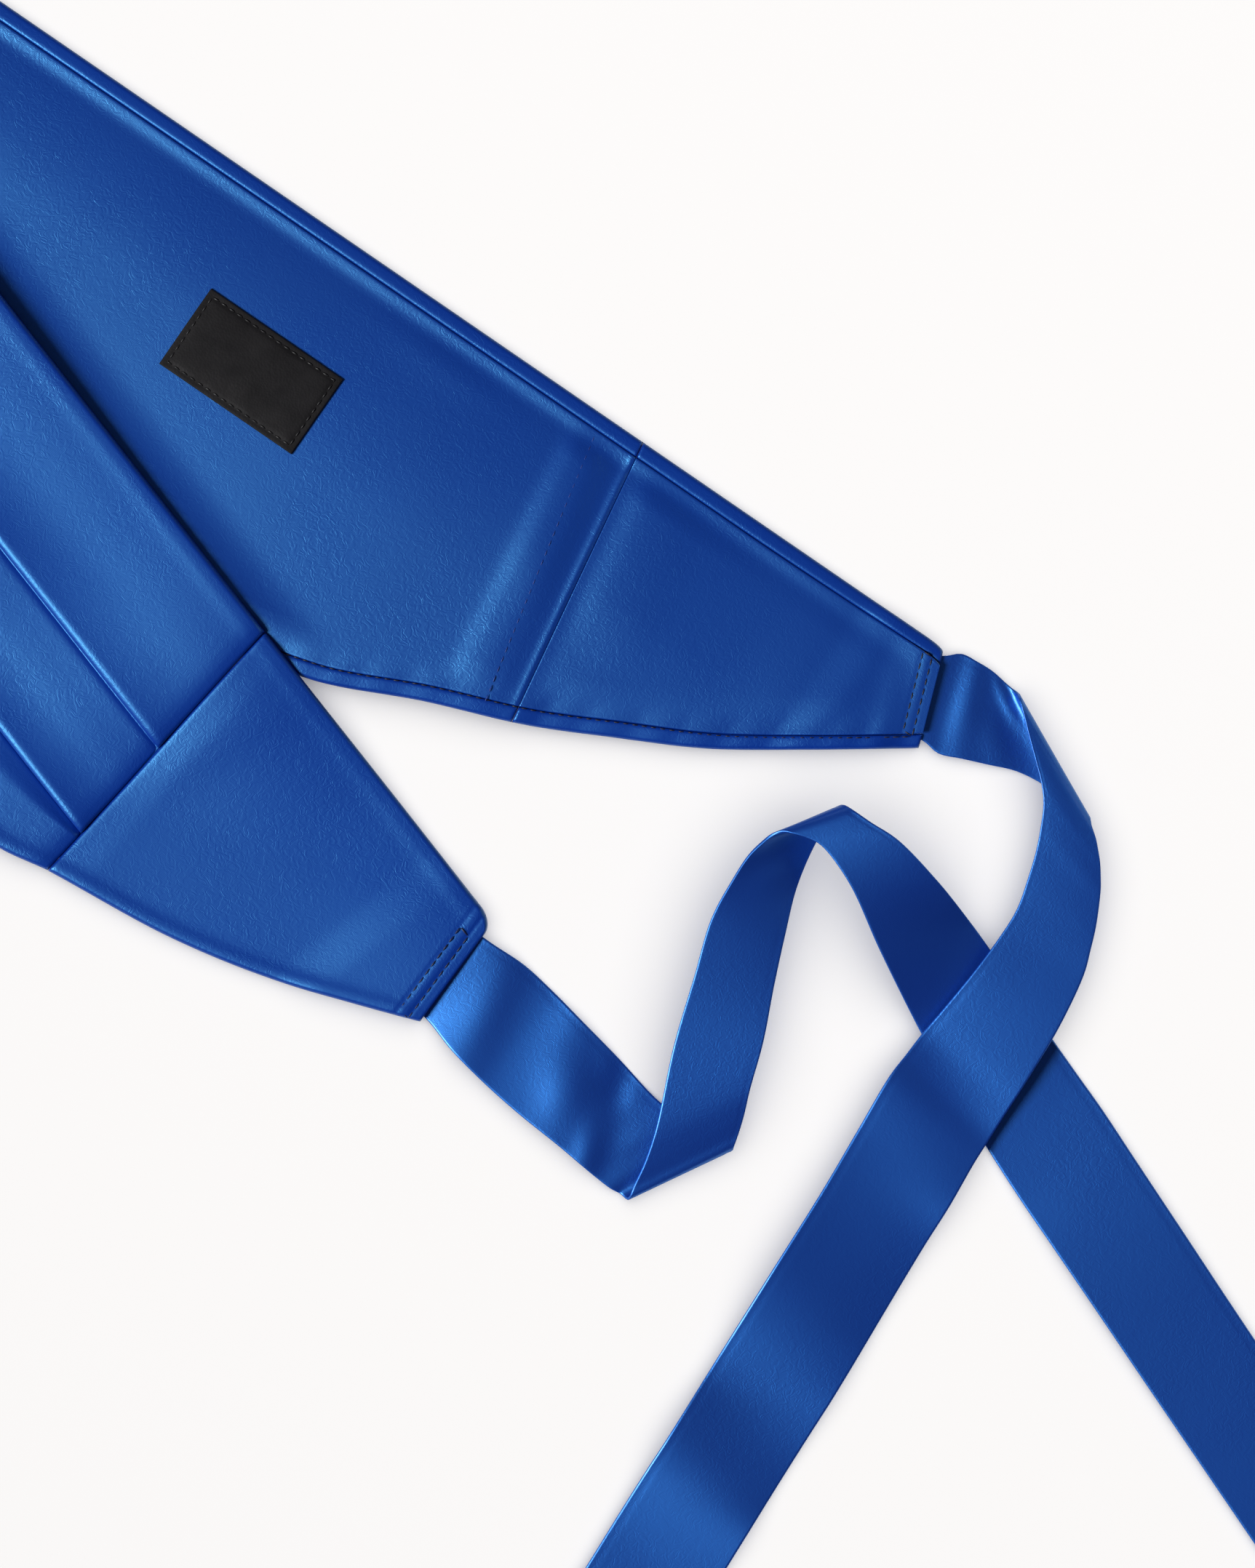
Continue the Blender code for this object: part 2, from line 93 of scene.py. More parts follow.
def round_off(inside: Array | float, radius: float) -> Array:
    """How far a rounded edge has dropped.

    Args:
        inside: distance from the edge, measured into the cloth.
        radius: radius of the rounding.

    Returns:
        The drop below the face, 0 beyond the radius.
    """
    x = np.clip(1.0 - np.asarray(inside) / radius, 0.0, 1.0)
    return radius * (1.0 - np.sqrt(np.maximum(0.0, 1.0 - x * x)))


def lip(x: Array, length: Array | float) -> Array:
    """Rise that starts steeply at x = 0 and levels out at x = length."""
    x = np.clip(x / length, 0.0, 1.0)
    return 1.0 - np.square(1.0 - x)


def hermite(u: Array, start: Array, start_slope: Array, end: Array, end_slope: Array) -> Array:
    """Cubic from one point to the next.

    Args:
        u: places on the stretch, 0 to 1.
        start: value where u is 0.
        start_slope: slope there, over the whole stretch.
        end: value where u is 1.
        end_slope: slope there, over the whole stretch.

    Returns:
        The curve's values.
    """
    rest = 2.0 * u**3 - 3.0 * u**2 + 1.0
    near, far = u**3 - 2.0 * u**2 + u, u**3 - u**2
    return rest * start + near * start_slope + (1.0 - rest) * end + far * end_slope


@dataclass(frozen=True)
class SmoothTable:
    """Smooth curve through a table of places and values."""

    points: tuple[tuple[float, float], ...]

    def at(self, x: Array | float) -> Array:
        """Read the curve.

        Args:
            x: places along the table.

        Returns:
            The curve's values there, held level past both ends.
        """
        xs, ys = np.array(self.points, float).T
        last = len(xs) - 1
        lo, hi = np.maximum(np.arange(last + 1) - 1, 0), np.minimum(np.arange(last + 1) + 1, last)
        slopes = (ys[hi] - ys[lo]) / (xs[hi] - xs[lo])
        x = np.clip(x, xs[0], xs[-1])
        i = np.clip(np.searchsorted(xs, x, side="right") - 1, 0, last - 1)
        h = xs[i + 1] - xs[i]
        return hermite((x - xs[i]) / h, ys[i], h * slopes[i], ys[i + 1], h * slopes[i + 1])


@dataclass(frozen=True)
class Fade:
    """Smooth change of a measure from one value to another."""

    start: float
    length: float
    before: float = 0.0
    after: float = 1.0

    def at(self, x: Array | float) -> Array:
        """The measure at a place."""
        return mix(self.before, self.after, soft((x - self.start) / self.length))


@dataclass(frozen=True)
class Crest:
    """Narrow crest, or dent, along a line of the cloth."""

    place: float
    half_width: float
    height: float

    def at(self, x: Array | float) -> Array:
        """Height at a place."""
        return self.height * ridge((x - self.place) / self.half_width)


@dataclass(frozen=True)
class Fall:
    """How a face falls toward a seam or from a pleat: a soft roll and a sharp nick."""

    roll: Fade
    nick: float
    nick_length: float

    def at(self, x: Array) -> Array:
        """Depth at a distance from the line."""
        return self.roll.at(x) + self.nick * np.exp(-x / self.nick_length)


@dataclass(frozen=True)
class Swell:
    """Soft rise of laid cloth, or a hollow where the rise is negative."""

    along: float
    across: float
    half_length: float
    half_width: float
    turn: float
    rise: float

    def height(self, along: Array, across: Array) -> Array:
        """Height of the swell.

        Args:
            along: places along the cloth.
            across: places across the cloth.

        Returns:
            The rise at each place.
        """
        c, s = math.cos(math.radians(self.turn)), math.sin(math.radians(self.turn))
        x, y = along - self.along, across - self.across
        return self.rise * np.exp(
            -np.square((c * x + s * y) / self.half_length)
            - np.square((c * y - s * x) / self.half_width)
        )


def read_table(kind: type, rows: Sequence[tuple]) -> tuple:
    """Turn a table, whose heading row names the fields, into objects of a class."""
    return tuple(kind(**dict(zip(rows[0], row))) for row in rows[1:])


def total_height(swells: Sequence[Swell], along: Array, across: Array) -> Array:
    """Sum the swells' heights at places of the cloth."""
    return sum((s.height(along, across) for s in swells), np.zeros(np.shape(along)))


def columns(features: Sequence[tuple[float, Sequence[float]]], gap: float) -> Array:
    """Places across a cloth for mesh points, close together at its features.

    Args:
        features: a feature's place, and the offsets from it that need points.
        gap: the widest space left between neighbouring points.

    Returns:
        The places in order.
    """
    fixed = sorted({round(place + offset, 3) for place, offsets in features for offset in offsets})
    out = [fixed[0]]
    for place in fixed[1:]:
        steps = max(1, math.ceil((place - out[-1]) / gap))
        out += [mix(out[-1], place, k / steps) for k in range(1, steps + 1)]
    return np.array(out)


def both_edges(width: float, steps: Sequence[float]) -> list[tuple[float, Sequence[float]]]:
    """The two edges of a cloth as features, with the same steps inwards."""
    return [(0.0, steps), (width, [-x for x in steps])]


def lengths_along(path: Array) -> Array:
    """Distance of each point of a path from its start."""
    return np.concatenate([[0.0], np.cumsum(np.linalg.norm(np.diff(path, axis=0), axis=1))])


def unit(vector: Array) -> Array:
    """A vector, or each of an array of vectors, made one long."""
    return vector / np.maximum(np.linalg.norm(vector, axis=-1, keepdims=True), TINY)


# ---------------------------------------------------------------- meshes


def put_in_scene(name: str, data: bpy.types.ID) -> bpy.types.Object:
    """Make an object of a mesh, lamp or camera and link it to the scene.

    Args:
        name: name of the object.
        data: its mesh, lamp or camera.

    Returns:
        The new object.
    """
    made = bpy.data.objects.new(name, data)
    bpy.context.scene.collection.objects.link(made)
    return made


def quads_of_shell(rows: int, across: int) -> Array:
    """Corner indices of every face of a shell.

    Args:
        rows: rows in each face grid.
        across: points in each row.

    Returns:
        An array of quads; the inner grid's points follow the outer grid's.
    """
    o = np.arange(rows * across).reshape(rows, across)
    n = o + rows * across
    parts = [
        (o[:-1, :-1], o[:-1, 1:], o[1:, 1:], o[1:, :-1]),
        (n[:-1, :-1], n[1:, :-1], n[1:, 1:], n[:-1, 1:]),
        (o[:-1, 0], o[1:, 0], n[1:, 0], n[:-1, 0]),
        (o[1:, -1], o[:-1, -1], n[:-1, -1], n[1:, -1]),
        (o[0, 1:], o[0, :-1], n[0, :-1], n[0, 1:]),
        (o[-1, :-1], o[-1, 1:], n[-1, 1:], n[-1, :-1]),
    ]
    return np.concatenate([np.stack([c.ravel() for c in part], axis=1) for part in parts])


def shell(name: str, outer: Array, inner: Array, flat: Array) -> bpy.types.Object:
    """Close two matching grids of points into one smooth-shaded cloth with a wall.

    Args:
        name: name of the piece.
        outer: grid of points of one face, in millimetres.
        inner: grid of points of the other face.
        flat: grid of the points' places on the flat cloth, for the weave.

    Returns:
        The new object, facing outwards.
    """
    back_of_cloth = (0.0, 400.0)
    points = np.concatenate([outer.reshape(-1, 3), inner.reshape(-1, 3)])
    places = np.concatenate([flat.reshape(-1, 2), flat.reshape(-1, 2) + back_of_cloth])
    faces = quads_of_shell(*outer.shape[:2])
    a, b, c, d = (points[faces[:, k]] for k in range(4))
    volume = (np.cross(a, b) * c).sum() + (np.cross(a, c) * d).sum()
    if volume < 0:
        faces = faces[:, ::-1]
    data = bpy.data.meshes.new(name)
    data.vertices.add(len(points))
    data.vertices.foreach_set("co", (points * MM).astype(np.float32).ravel())
    data.loops.add(faces.size)
    data.loops.foreach_set("vertex_index", faces.astype(np.int32).ravel())
    data.polygons.add(len(faces))
    data.polygons.foreach_set("loop_start", np.arange(0, faces.size, 4, dtype=np.int32))
    data.polygons.foreach_set("loop_total", np.full(len(faces), 4, dtype=np.int32))
    data.polygons.foreach_set("use_smooth", np.ones(len(faces), dtype=bool))
    data.update(calc_edges=True)
    layer = data.uv_layers.new(name="cloth")
    layer.data.foreach_set("uv", (places[faces.ravel()] * MM).astype(np.float32).ravel())
    data.validate()
    return put_in_scene(name, data)


# ---------------------------------------------------------------- finishes


class NodeSheet:
    """Short way to lay out shader nodes in one tree."""

    def __init__(self, tree: bpy.types.NodeTree) -> None:
        """Keep the tree that nodes are added to."""
        self.tree = tree

    def add(self, kind: str, settings: dict | None = None, **values: object) -> bpy.types.Node:
        """Add a node.

        Args:
            kind: the node's type name, without the ShaderNode in front.
            settings: attributes of the node itself.
            values: inputs by name, with _ for a space; a socket is linked, anything else is set.

        Returns:
            The new node.
        """
        node = self.tree.nodes.new("ShaderNode" + kind)
        for key, value in (settings or {}).items():
            setattr(node, key, value)
        self.feed(node, **values)
        return node

    def feed(self, node: bpy.types.Node, **values: object) -> None:
        """Link or set a node's inputs by name, with _ for a space."""
        for key, value in values.items():
            self.join(node.inputs[key.replace("_", " ")], value)

    def join(self, socket: bpy.types.NodeSocket, value: object) -> None:
        """Link a socket to another, or set its value.

        Args:
            socket: the input.
            value: a socket to link, or anything else to set.
        """
        if isinstance(value, bpy.types.NodeSocket):
            self.tree.links.new(value, socket)
        else:
            socket.default_value = value

    def work_out(
        self, operation: str, *values: object, kind: str = "Math"
    ) -> bpy.types.NodeSocket:
        """Add a maths node and return its result.

        Args:
            operation: what it works out.
            values: its inputs in order, sockets or numbers.
            kind: Math, or VectorMath for vectors.

        Returns:
            The result's socket.
        """
        node = self.add(kind, {"operation": operation})
        for socket, value in zip(node.inputs, values):
            self.join(socket, value)
        return node.outputs[0]

    def noise(self, vector: bpy.types.NodeSocket, **values: object) -> bpy.types.NodeSocket:
        """Add a noise texture and return its value."""
        return self.add("TexNoise", Vector=vector, **values).outputs["Fac"]

    def span(self, value: bpy.types.NodeSocket, **ends: float) -> bpy.types.NodeSocket:
        """Add a map range node and return its result."""
        return self.add("MapRange", Value=value, **ends).outputs[0]

    def bump(self, height: bpy.types.NodeSocket, **values: object) -> bpy.types.NodeSocket:
        """Add a bump node and return its normal."""
        return self.add("Bump", Height=height, **values).outputs[0]

    def place(self, group: bpy.types.NodeTree, **values: object) -> bpy.types.Node:
        """Place a node group and feed its named inputs.

        Args:
            group: the node group.
            values: inputs by name, with _ for a space.

        Returns:
            The new node.
        """
        node = self.tree.nodes.new("ShaderNodeGroup")
        node.node_tree = group
        self.feed(node, **values)
        return node


@dataclass(frozen=True)
class Socket:
    """One input or output of a node group."""

    name: str
    kind: str = "NodeSocketFloat"
    value: float | None = None


VECTOR = Socket("Vector", "NodeSocketVector")
HEIGHT = Socket("Height")


class GroupSheet(NodeSheet):
    """A new shader node group with named inputs and outputs."""

    def __init__(self, name: str, inputs: Sequence[Socket], outputs: Sequence[Socket]) -> None:
        """Start the group.

        Args:
            name: name of the group.
            inputs: its inputs.
            outputs: its outputs.
        """
        super().__init__(bpy.data.node_groups.new(name, "ShaderNodeTree"))
        for side, sockets in (("INPUT", inputs), ("OUTPUT", outputs)):
            for socket in sockets:
                made = self.tree.interface.new_socket(
                    socket.name, in_out=side, socket_type=socket.kind
                )
                if socket.value is not None:
                    made.default_value = socket.value
        self.given = self.tree.nodes.new("NodeGroupInput").outputs
        self.sink = self.tree.nodes.new("NodeGroupOutput")

    def give(self, **results: bpy.types.NodeSocket) -> bpy.types.NodeTree:
        """Feed the group's outputs and return its tree."""
        self.feed(self.sink, **results)
        return self.tree


class SurfaceEffects:
    """Node groups that several finishes share, each built once."""

    def __init__(self) -> None:
        """Build the groups."""
        self.relief = self.build_relief()
        self.weave = self.build_weave()
        self.drift = self.build_drift()
        self.grain = self.build_grain()

    @staticmethod
    def build_relief() -> bpy.types.NodeTree:
        """Fine wandering wrinkles of pressed satin, stronger in some patches than others.

        Returns:
            The node group.
        """
        scales = (
            Socket("Wrinkle Scale", value=300.0),
            Socket("Wrinkle Turns", value=24.0),
            Socket("Patch Scale", value=30.0),
        )
        g = GroupSheet("Satin relief", (VECTOR, *scales), (HEIGHT, Socket("Patch")))
        place = g.given["Vector"]
        wander = g.noise(
            place, Scale=g.given["Wrinkle Scale"], Detail=1.0, Roughness=0.45, Distortion=0.9
        )
        wave = g.work_out("SINE", g.work_out("MULTIPLY", wander, g.given["Wrinkle Turns"]))
        patches = g.noise(place, Scale=g.given["Patch Scale"], Detail=2.0, Roughness=0.5)
        patch = g.span(patches, From_Min=0.36, From_Max=0.62, To_Min=0.5)
        return g.give(Height=g.work_out("MULTIPLY", wave, patch), Patch=patch)

    @staticmethod
    def build_weave() -> bpy.types.NodeTree:
        """Satin floats: long threads one way, crossed at uneven spaces the other way.

        Returns:
            The node group.
        """
        counts = (Socket("Threads", value=2600.0), Socket("Float Length", value=5.0))
        g = GroupSheet("Weave", (VECTOR, *counts), (HEIGHT,))
        place, threads = g.given["Vector"], g.given["Threads"]
        wobble = g.add("TexNoise", Vector=place, Scale=420.0, Detail=1.0, Roughness=0.4)
        reach = (0.0004, 0.0004, 0.0)
        shift = g.work_out("MULTIPLY_ADD", wobble.outputs["Color"], reach, place, kind="VectorMath")
        parts = g.add("SeparateXYZ", Vector=shift).outputs
        across = g.work_out("MULTIPLY", parts["Y"], threads)
        step = g.work_out("DIVIDE", threads, g.given["Float Length"])
        along = g.work_out("MULTIPLY", parts["X"], step)
        phase = g.work_out("ADD", along, g.work_out("MULTIPLY", across, 0.4))
        weft = g.work_out("MULTIPLY", g.work_out("COSINE", phase), 0.35)
        return g.give(Height=g.work_out("ADD", g.work_out("SINE", across), weft))

    @staticmethod
    def build_drift() -> bpy.types.NodeTree:
        """Slow change of a colour over the cloth.

        Returns:
            The node group.
        """
        tones = [Socket(f"{name} Colour", "NodeSocketColor") for name in ("First", "Second")]
        g = GroupSheet(
            "Tone drift",
            (VECTOR, Socket("Scale", value=9.0), *tones),
            (Socket("Color", "NodeSocketColor"), Socket("Mask")),
        )
        noise = g.noise(g.given["Vector"], Scale=g.given["Scale"], Detail=3.0, Roughness=0.55)
        mask = g.span(noise, From_Min=0.3, From_Max=0.7)
        blend = g.add("Mix", {"data_type": "RGBA"})
        factor, first, second = (blend.inputs[k] for k in (0, 6, 7))
        g.join(factor, mask)
        g.join(first, g.given["First Colour"])
        g.join(second, g.given["Second Colour"])
        return g.give(Color=blend.outputs[2], Mask=mask)

    @staticmethod
    def build_grain() -> bpy.types.NodeTree:
        """Pebbled grain of leatherette, with shallow creases between the pebbles.

        Returns:
            The node group.
        """
        scale = Socket("Scale", value=900.0)
        g = GroupSheet("Pebble grain", (VECTOR, scale), (HEIGHT, Socket("Wear")))
        place, size = g.given["Vector"], g.given["Scale"]
        pebbles = {"feature": "SMOOTH_F1"}
        cells = g.add("TexVoronoi", pebbles, Vector=place, Scale=size, Smoothness=0.6)
        scuffs = g.noise(place, Scale=160.0, Detail=4.0, Roughness=0.65)
        wear = g.span(scuffs, From_Min=0.45, From_Max=0.75)
        return g.give(Height=cells.outputs["Distance"], Wear=wear)


class MaterialSheet(NodeSheet):
    """A new material and its Principled shader."""

    def __init__(self, name: str) -> None:
        """Start the material.

        Args:
            name: name of the material.
        """
        self.material = bpy.data.materials.new(name)
        self.material.use_nodes = True
        super().__init__(self.material.node_tree)
        self.shader = self.tree.nodes["Principled BSDF"]

    def shade(self, **values: object) -> None:
        """Link or set the shader's inputs by name, with _ for a space."""
        self.feed(self.shader, **values)


@dataclass(frozen=True)
class Finish:
    """What every finish has: a name, and two close tones that drift over the piece."""

    name: str
    first: Colour
    second: Colour
    drift_scale: ClassVar[float] = 11.0

    def material(self, effects: SurfaceEffects) -> bpy.types.Material:
        """Make the finish.

        Args:
            effects: the shared node groups.

        Returns:
            The material.
        """
        sheet = MaterialSheet(self.name)
        space = sheet.add("TexCoord").outputs["Object"]
        self.surface(sheet, space, effects)
        drift = sheet.place(
            effects.drift,
            Vector=space,
            Scale=self.drift_scale,
            First_Colour=(*self.first, 1.0),
            Second_Colour=(*self.second, 1.0),
        )
        sheet.shade(Base_Color=drift.outputs["Color"])
        return sheet.material

    def surface(
        self, sheet: MaterialSheet, space: bpy.types.NodeSocket, effects: SurfaceEffects
    ) -> None:
        """Lay out the finish's own gloss and relief.

        Args:
            sheet: the material so far.
            space: place on the piece.
            effects: the shared node groups.
        """
        raise NotImplementedError


@dataclass(frozen=True)
class Satin(Finish):
    """Dyed satin: a deep body colour under a broad, pale blue gloss.

    Depths of the relief are in metres.
    """

    gloss: Colour = (0.15, 0.58, 1.0)
    roughness: float = 0.40
    roughness_change: float = 0.03
    ior: float = 1.8
    level: float = 0.9
    wrinkle_depth: float = 0.0000115
    wrinkle_scale: float = 440.0
    thread_depth: float = 0.000012
    shine: float = 0.0
    shine_roughness: float = 0.32

    def surface(
        self, sheet: MaterialSheet, space: bpy.types.NodeSocket, effects: SurfaceEffects
    ) -> None:
        """Threads under fine wrinkles, and a gloss that is softer between them.

        Args:
            sheet: the material so far.
            space: place on the piece.
            effects: the shared node groups.
        """
        cloth = sheet.add("UVMap", {"uv_map": "cloth"}).outputs["UV"]
        relief = sheet.place(
            effects.relief,
            Vector=space,
            Wrinkle_Scale=self.wrinkle_scale,
            Wrinkle_Turns=22.0,
            Patch_Scale=26.0,
        ).outputs
        weave = sheet.place(effects.weave, Vector=cloth, Threads=15000.0, Float_Length=6.0)
        dull = self.roughness + self.roughness_change
        rough = sheet.span(relief["Patch"], To_Min=dull, To_Max=self.roughness)
        threads = sheet.bump(weave.outputs[0], Strength=0.25, Distance=self.thread_depth)
        wrinkles = sheet.bump(
            relief["Height"], Strength=1.0, Distance=self.wrinkle_depth, Normal=threads
        )
        sheet.shade(Roughness=rough, Normal=wrinkles)
        sheet.shade(
            Metallic=0.0,
            IOR=self.ior,
            Specular_IOR_Level=self.level,
            Specular_Tint=(*self.gloss, 1.0),
            Coat_Weight=self.shine,
            Coat_Roughness=self.shine_roughness,
            Coat_IOR=1.5,
        )


@dataclass(frozen=True)
class Leatherette(Finish):
    """Pressed leatherette of a sewn-on patch."""

    drift_scale: ClassVar[float] = 120.0

    def surface(
        self, sheet: MaterialSheet, space: bpy.types.NodeSocket, effects: SurfaceEffects
    ) -> None:
        """Pebbles, scuffed smoother here and there.

        Args:
            sheet: the material so far.
            space: place on the piece.
            effects: the shared node groups.
        """
        grain = sheet.place(effects.grain, Vector=space, Scale=1500.0).outputs
        rough = sheet.span(grain["Wear"], To_Min=0.62, To_Max=0.8)
        pebbles = sheet.bump(grain["Height"], Strength=0.6, Distance=0.00008)
        sheet.shade(Roughness=rough, Normal=pebbles, Specular_IOR_Level=0.13)


@dataclass(frozen=True)
class Thread(Finish):
    """Twisted sewing thread."""

    drift_scale: ClassVar[float] = 700.0

    def surface(
        self, sheet: MaterialSheet, space: bpy.types.NodeSocket, effects: SurfaceEffects
    ) -> None:
        """Bands of the twist.

        Args:
            sheet: the material so far.
            space: place on the piece.
            effects: the shared node groups.
        """
        slanting = {"bands_direction": "DIAGONAL"}
        twist = sheet.add("TexWave", slanting, Vector=space, Scale=900.0, Distortion=0.6)
        ply = sheet.bump(twist.outputs["Fac"], Strength=0.5, Distance=0.00005)
        sheet.shade(Roughness=0.55, Normal=ply)


class Slot(Enum):
    """Material slots of the part."""

    SATIN = "satin"
    LINING = "lining_satin"
    TIE = "tie_satin"
    LABEL = "label_patch"


class Spool(Enum):
    """Sewing threads."""

    # The blue and dark threads are darker than the cloth: partly the thread's own colour, partly
    # painted shade of the needle holes and dents the tip stitches sit in.
    BLUE = Thread("blue thread", (0.0014, 0.008, 0.060), (0.0012, 0.006, 0.040))
    DARK = Thread("dark thread", (0.0012, 0.0016, 0.008), (0.0016, 0.003, 0.018))
    LINING = Thread("lining thread", (0.003, 0.032, 0.22), (0.002, 0.022, 0.17))
    BLACK = Thread("black thread", (0.002, 0.002, 0.0023), (0.004, 0.004, 0.0043))


CLOTHS: dict[Slot, Finish] = {
    Slot.SATIN: Satin("front satin", (0.0007, 0.0165, 0.200), (0.0008, 0.0195, 0.218), level=0.68),
    Slot.LINING: Satin(
        "lining satin", (0.0007, 0.017, 0.202), (0.0008, 0.020, 0.220), ior=1.9, level=0.95
    ),
    Slot.TIE: Satin(
        "tie satin",
        (0.0014, 0.0072, 0.155),
        (0.0016, 0.0086, 0.172),
        gloss=(0.045, 0.30, 0.84),
        roughness=0.45,
        ior=2.65,
        level=1.0,
        wrinkle_depth=0.0000095,
        shine=0.42,
    ),
    Slot.LABEL: Leatherette(
        "label leatherette", (0.0048, 0.0045, 0.0052), (0.0095, 0.009, 0.0098)
    ),
}


class Wardrobe:
    """Every finish of the part, made once."""

    def __init__(self) -> None:
        """Make the finishes."""
        effects = SurfaceEffects()
        self.cloths = {slot: cloth.material(effects) for slot, cloth in CLOTHS.items()}
        self.threads = {spool: spool.value.material(effects) for spool in Spool}

    def put_on(self, piece: bpy.types.Object, material: bpy.types.Material) -> None:
        """Give a piece its material and put it on the body.

        Args:
            piece: the piece.
            material: what it is made of.
        """
        piece.data.materials.append(material)
        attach(piece, "root")

    def dress(self, piece: bpy.types.Object, slot: Slot, node: str) -> None:
        """Give a cloth piece its slot's finish, in place of a plain solid."""
        self.put_on(piece, self.cloths[slot])
        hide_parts(node)

    def sew(self, run: "StitchRun", spool: Spool, slot: Slot) -> bpy.types.Object:
        """Make a run of stitches in its thread and return the piece.

        Args:
            run: the stitches.
            spool: their thread.
            slot: not used.

        Returns:
            The new piece.
        """
        piece = run.build()
        self.put_on(piece, self.threads[spool])
        return piece


# ---------------------------------------------------------------- the band's plan


@dataclass(frozen=True)
class Half:
    """One half of the folded band, measured along its straight edge from the fold's corner.

    The lean turns a distance along that edge into the distance from the slanted end of the tip.
    Rows are the two stitch rows' distances from the end, sewn is where they start and end across.
    """

    heading: float
    seam: float
    tip: float
    tip_slant: float
    corner: float
    lean: float
    rows: tuple[float, float]
    sewn: tuple[float, float]


@dataclass(frozen=True)
class BandPlan:
    """Plan of the folded band: where each point of the flat cloth lies.

    Along counts from the fold's corner, positive on the top half and negative on the lower half.
    Across counts from the straight edge.
    """

    under: Half = Half(math.radians(-34.47), 414.6, 524.5, 0.37, 1.0, 0.94, (6.0, 3.0), (4.4, 27.5))
    over: Half = Half(math.radians(-52.0), 370.7, 481.6, 0.28, 4.0, 0.96, (7.1, 3.5), (8.5, 38.0))
    corner: tuple[float, float] = (-237.8, 192.0)
    full_width: float = 131.0
    fold_radius: float = 7.0
    front_wall: float = 1.8
    lining_wall: float = 1.0
    seam_gap: float = 0.3
    tie_wall: float = 1.0
    rim: float = 5.0
    seam_slant: float = 0.164
    tip_round: float = 6.0
    pocket_length: float = 15.0
    pocket_ramp: float = 14.0

    # How the top half rests: spring of the fold, drop off the lower half's curved edge, lifts of
    # its straight edge and of its side seam.
    relax: Fade = Fade(0.0, 430.0, 1.0, 0.0)
    drop: Fade = Fade(0.0, 60.0, 1.0, 0.0)
    overhang: float = 60.0
    edge_lift: Crest = Crest(0.0, 48.0, 4.0)
    lift_start: Fade = Fade(0.0, 120.0)
    lift_end: Fade = Fade(325.0, 125.0, 1.0, 0.0)
    side_lift: Crest = Crest(366.0, 28.0, 1.3)

    # How the lower half lies: pressed flat where it is covered, curled up at its curved edge, and
    # climbing beside the top half's straight edge.
    cover_edge: Fade = Fade(1.0, 9.0)
    cover_tip: Fade = Fade(0.0, 6.0, 1.0, 0.0)
    pressed: float = 0.85
    curl_start: float = 10.0
    curl_reach: Fade = Fade(240.0, 130.0, 34.0, 56.0)
    curl_slope: Fade = Fade(405.0, 20.0, 0.150, 0.085)
    curl_near_fold: Fade = Fade(0.0, 60.0)
    calm_tip: Fade = Fade(-14.0, 10.0, 1.0, 0.0)
    climb_width: float = 14.0
    climb_end: Fade = Fade(376.0, 42.0, 1.0, 0.0)

    outline: SmoothTable = SmoothTable(
        (
            (-536.0, 28.5), (-533.4, 30.5), (-508.0, 48.5), (-482.6, 65.5),
            (-458.0, 78.4), (-433.6, 90.5), (-404.0, 102.1), (-372.0, 116.0),
            (-320.0, 127.0), (-240.0, 131.0), (0.0, 131.5), (180.0, 130.0),
            (270.0, 125.5), (330.0, 116.0), (371.9, 103.6), (386.4, 96.4),
            (419.1, 82.6), (438.6, 72.6), (457.0, 61.3), (474.0, 49.0),
            (486.5, 39.7), (494.0, 34.0),
        )
    )

    @property
    def stack(self) -> float:
        """Thickness of front and lining together."""
        return self.front_wall + self.seam_gap + self.lining_wall

    @property
    def half_turn(self) -> float:
        """Half the angle between the two straight edges."""
        return (self.under.heading - self.over.heading) / 2.0

    @property
    def bisector(self) -> float:
        """Heading halfway between the two straight edges."""
        return (self.under.heading + self.over.heading) / 2.0

    @property
    def fold_slant(self) -> float:
        """Slant of the fold across the band."""
        return math.tan(self.half_turn)

    def plan(self, half: Half, along: Array, across: Array) -> tuple[Array, Array]:
        """Plan point of one half.

        Args:
            half: the half.
            along: distance from the fold's corner along its straight edge.
            across: distance from that edge.

        Returns:
            X and Y.
        """
        c, s = math.cos(half.heading), math.sin(half.heading)
        return self.corner[0] + c * along + s * across, self.corner[1] + s * along - c * across

    def crossed(self, one: Half, other: Half, along: Array, across: Array) -> tuple[Array, Array]:
        """Where a point of one half stands on the other.

        Args:
            one: the half that the point is on.
            other: the half to measure on.
            along: distance along the first half's straight edge.
            across: distance from that edge.

        Returns:
            Distances along the other half's straight edge and from it.
        """
        x, y = self.plan(one, along, across)
        dx, dy = x - self.corner[0], y - self.corner[1]
        c, s = math.cos(other.heading), math.sin(other.heading)
        return c * dx + s * dy, s * dx - c * dy

    def tip_at(self, along: Array) -> Array:
        """Place of the tip of the half that a point is on."""
        return np.where(along > 0, self.over.tip, self.under.tip)

    def pocket(self, along: Array) -> Array:
        """Extra room at a tip for the tie's sewn end."""
        ramp = Fade(-self.pocket_length - self.pocket_ramp, self.pocket_ramp)
        return (self.tie_wall + self.seam_gap) * ramp.at(np.abs(along) - self.tip_at(along))

